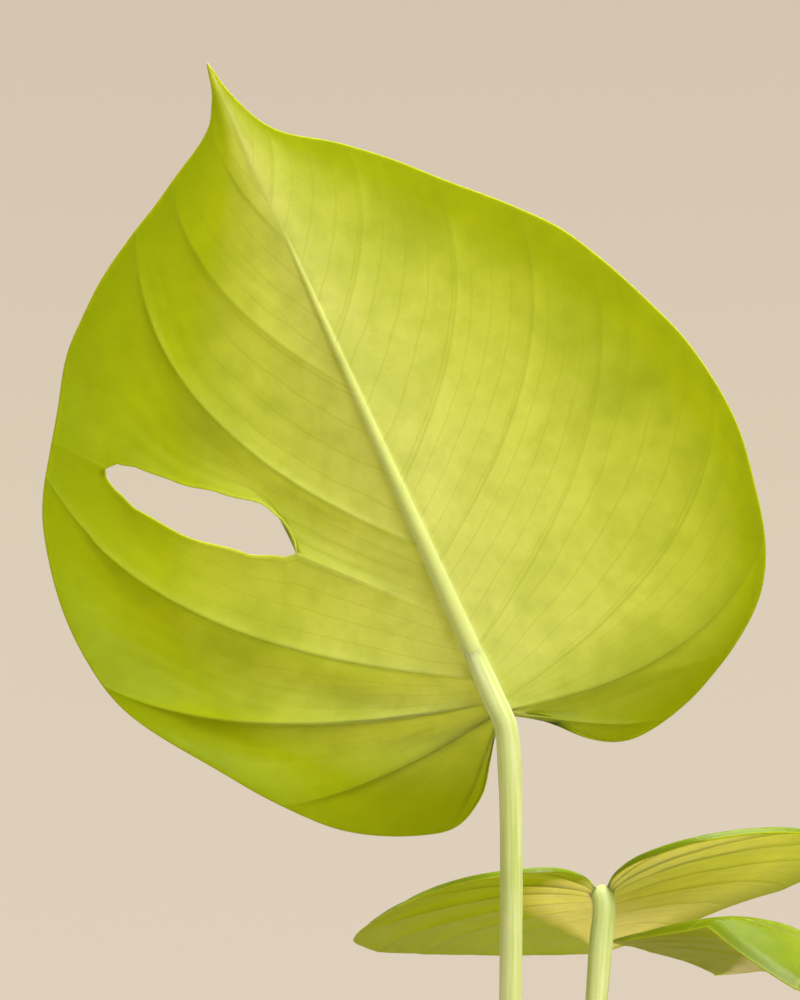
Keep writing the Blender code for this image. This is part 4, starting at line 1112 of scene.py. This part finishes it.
def scatterTree(name):
    # puts chips of one kind on the upward faces of the soil, each turned and sized at random
    group = bpy.data.node_groups.new(name, "GeometryNodeTree")
    group.interface.new_socket("Geometry", in_out="INPUT", socket_type="NodeSocketGeometry")
    for label, kind in (("Chip Length", "Float"), ("Chip Width", "Float"), ("Chip Height", "Float"),
                        ("Spacing", "Float"), ("Per Square Metre", "Float"), ("Reach", "Float"),
                        ("Sink", "Float"), ("Seed", "Int"), ("Finish", "Material")):
        group.interface.new_socket(label, in_out="INPUT", socket_type=f"NodeSocket{kind}")
    group.interface.new_socket("Geometry", in_out="OUTPUT", socket_type="NodeSocketGeometry")
    given = addNode(group, "NodeGroupInput").outputs
    result = addNode(group, "NodeGroupOutput")
    normal = addNode(group, "GeometryNodeInputNormal").outputs[0]
    upward = addNode(group, "ShaderNodeSeparateXYZ", links={"Vector": normal}).outputs["Z"]
    place = addNode(group, "GeometryNodeInputPosition").outputs[0]
    flat = addNode(group, "ShaderNodeVectorMath", {1: (1, 1, 0)}, {0: place},
                   operation="MULTIPLY").outputs[0]
    radius = addNode(group, "ShaderNodeVectorMath", links={0: flat}, operation="LENGTH").outputs["Value"]
    isUp = addNode(group, "FunctionNodeCompare", {"B": 0.6}, {"A": upward},
                   operation="GREATER_THAN").outputs[0]
    within = addNode(group, "FunctionNodeCompare", links={"A": radius, "B": given["Reach"]},
                     operation="LESS_THAN").outputs[0]
    chosen = addNode(group, "FunctionNodeBooleanMath", links={0: isUp, 1: within},
                     operation="AND").outputs[0]
    spots = addNode(group, "GeometryNodeDistributePointsOnFaces", links={
        "Mesh": given["Geometry"], "Selection": chosen, "Distance Min": given["Spacing"],
        "Density Max": given["Per Square Metre"], "Seed": given["Seed"]}, distribute_method="POISSON")
    stone = addNode(group, "GeometryNodeMeshIcoSphere", {"Radius": 0.5, "Subdivisions": 1})
    size = addNode(group, "ShaderNodeCombineXYZ", links={
        "X": given["Chip Length"], "Y": given["Chip Width"], "Z": given["Chip Height"]}).outputs[0]
    knock = addNode(group, "FunctionNodeRandomValue",
                    {"Min": (-0.16, -0.16, -0.16), "Max": (0.16, 0.16, 0.16)},
                    {"Seed": given["Seed"]}, data_type="FLOAT_VECTOR").outputs[0]
    knocked = addNode(group, "GeometryNodeSetPosition",
                      links={"Geometry": stone.outputs["Mesh"], "Offset": knock})
    chip = addNode(group, "GeometryNodeTransform", links={"Geometry": knocked.outputs[0], "Scale": size})
    turn = addNode(group, "FunctionNodeRandomValue", {"Min": (-0.5, -0.5, 0.0), "Max": (0.5, 0.5, 6.28)},
                   {"Seed": given["Seed"]}, data_type="FLOAT_VECTOR").outputs[0]
    grow = addNode(group, "FunctionNodeRandomValue", {"Min": (0.45, 0.5, 0.5), "Max": (1.25, 1.2, 1.3)},
                   {"Seed": given["Seed"]}, data_type="FLOAT_VECTOR").outputs[0]
    placed = addNode(group, "GeometryNodeInstanceOnPoints", links={
        "Points": spots.outputs["Points"], "Instance": chip.outputs[0], "Rotation": turn, "Scale": grow})
    down = addNode(group, "ShaderNodeCombineXYZ", links={"Z": given["Sink"]}).outputs[0]
    lowered = addNode(group, "GeometryNodeTranslateInstances", {"Local Space": False},
                      {"Instances": placed.outputs[0], "Translation": down})
    real = addNode(group, "GeometryNodeRealizeInstances", links={"Geometry": lowered.outputs[0]})
    done = addNode(group, "GeometryNodeSetMaterial",
                   links={"Geometry": real.outputs[0], "Material": given["Finish"]})
    group.links.new(done.outputs[0], result.inputs[0])
    return group


chips = {
    "soil_crumbs": {
        "Chip Length": 2.6 * mm, "Chip Width": 2.2 * mm, "Chip Height": 1.7 * mm, "Spacing": 1.5 * mm,
        "Per Square Metre": 260000.0, "Reach": 57.5 * mm, "Sink": 0.1 * mm, "Seed": 3, "Finish": peat,
    },
    "bark_chips": {
        "Chip Length": 9.5 * mm, "Chip Width": 4.2 * mm, "Chip Height": 1.5 * mm, "Spacing": 5.5 * mm,
        "Per Square Metre": 14000.0, "Reach": 54 * mm, "Sink": 0.7 * mm, "Seed": 8, "Finish": bark,
    },
    "perlite_grains": {
        "Chip Length": 2.9 * mm, "Chip Width": 2.5 * mm, "Chip Height": 2.2 * mm, "Spacing": 4.0 * mm,
        "Per Square Metre": 9000.0, "Reach": 56 * mm, "Sink": 0.6 * mm, "Seed": 21, "Finish": perlite,
    },
}
scatter = scatterTree("scatterOnSoil")
bed = bpy.data.objects.new("scatterBed", bedMesh)
bpy.context.scene.collection.objects.link(bed)
chipMeshes = []
for name, inputs in chips.items():
    scattering = bed.modifiers.new(name, "NODES")
    scattering.node_group = scatter
    for socket in scatter.interface.items_tree:
        if socket.in_out == "INPUT" and socket.name in inputs:
            scattering[socket.identifier] = inputs[socket.name]
    mesh = bpy.data.meshes.new_from_object(bed.evaluated_get(bpy.context.evaluated_depsgraph_get()))
    bed.modifiers.remove(scattering)
    mesh.name = name
    chipMeshes.append(mesh)
    print(name, len(mesh.polygons), "faces")
bpy.data.objects.remove(bed)
addPiece(bedMesh, "soil")
for mesh in chipMeshes:
    addPiece(mesh, "soil", smooth=mesh.name == "perlite_grains")


# ---- stage: world, floor, lights and camera

stage = {
    "lookAt": Vector((-0.0374, 0.0, 0.41664)), "distance": 1.05, "frameHeight": 0.22, "sensor": 36.0,
    "floorRadius": 1.5, "wall": [(0.0, "#e0d1bd"), (0.5, "#dccdb7"), (1.0, "#d3c2af")], "ambient": 0.50,
}

bpy.context.scene.view_settings.view_transform = "Standard"

camera = bpy.data.objects.new("camera", bpy.data.cameras.new("camera"))
bpy.context.scene.collection.objects.link(camera)
camera.data.sensor_width = stage["sensor"]
camera.data.lens = stage["sensor"] * stage["distance"] / stage["frameHeight"]
camera.location = stage["lookAt"] - Vector((0.0, stage["distance"], 0.0))
camera.rotation_euler = (math.pi / 2, 0.0, 0.0)
bpy.context.scene.camera = camera

world = bpy.data.worlds.new("paperWorld")
world.use_nodes = True
bpy.context.scene.world = world
paper = world.node_tree.nodes["Background"]
# the backdrop is painted darker toward the top: painted shade of the light falling off upward
direction = addNode(world.node_tree, "ShaderNodeTexCoord").outputs["Generated"]
upward = addNode(world.node_tree, "ShaderNodeSeparateXYZ", links={"Vector": direction}).outputs["Z"]
share = addNode(world.node_tree, "ShaderNodeMapRange", {"From Min": -0.13, "From Max": 0.13},
                {"Value": upward})
wall = addNode(world.node_tree, "ShaderNodeValToRGB", links={"Fac": share.outputs[0]}, stops=stage["wall"])
world.node_tree.links.new(wall.outputs["Color"], paper.inputs["Color"])
seen = addNode(world.node_tree, "ShaderNodeLightPath").outputs["Is Camera Ray"]
strength = addNode(world.node_tree, "ShaderNodeMapRange", {"To Min": stage["ambient"], "To Max": 1.0},
                   {"Value": seen})
world.node_tree.links.new(strength.outputs[0], paper.inputs["Strength"])

# Floor: matt painted board, plain and pale
board, tree, skin = newMaterial("paintedBoard")
skin.inputs["Base Color"].default_value = hexColour("#bfb3a1")
skin.inputs["Roughness"].default_value = 0.9
floorMesh = bpy.data.meshes.new("floor")
disc = bmesh.new()
bmesh.ops.create_circle(disc, cap_ends=True, segments=128, radius=stage["floorRadius"])
disc.to_mesh(floorMesh)
disc.free()
floorMesh.materials.append(board)
floor = bpy.data.objects.new("floor", floorMesh)
bpy.context.scene.collection.objects.link(floor)

lights = {
    "key": {"at": (0.78, -0.72, 1.35), "size": 0.65, "watts": 18.5, "colour": "#fffaf2"},
    "top": {"at": (0.15, 0.25, 1.45), "size": 0.9, "watts": 13.0, "colour": "#fffaf2"},
    "fill": {"at": (-0.9, -1.1, 0.35), "size": 1.0, "watts": 3.0, "colour": "#fff6ea"},
}
for name, light in lights.items():
    lamp = bpy.data.lights.new(name, "AREA")
    lamp.size = light["size"]
    lamp.energy = light["watts"]
    lamp.color = hexColour(light["colour"])[:3]
    holder = bpy.data.objects.new(name, lamp)
    bpy.context.scene.collection.objects.link(holder)
    holder.location = light["at"]
    toward = Vector((0.0, 0.0, 0.36)) - Vector(light["at"])
    holder.rotation_euler = toward.to_track_quat("-Z", "Y").to_euler()
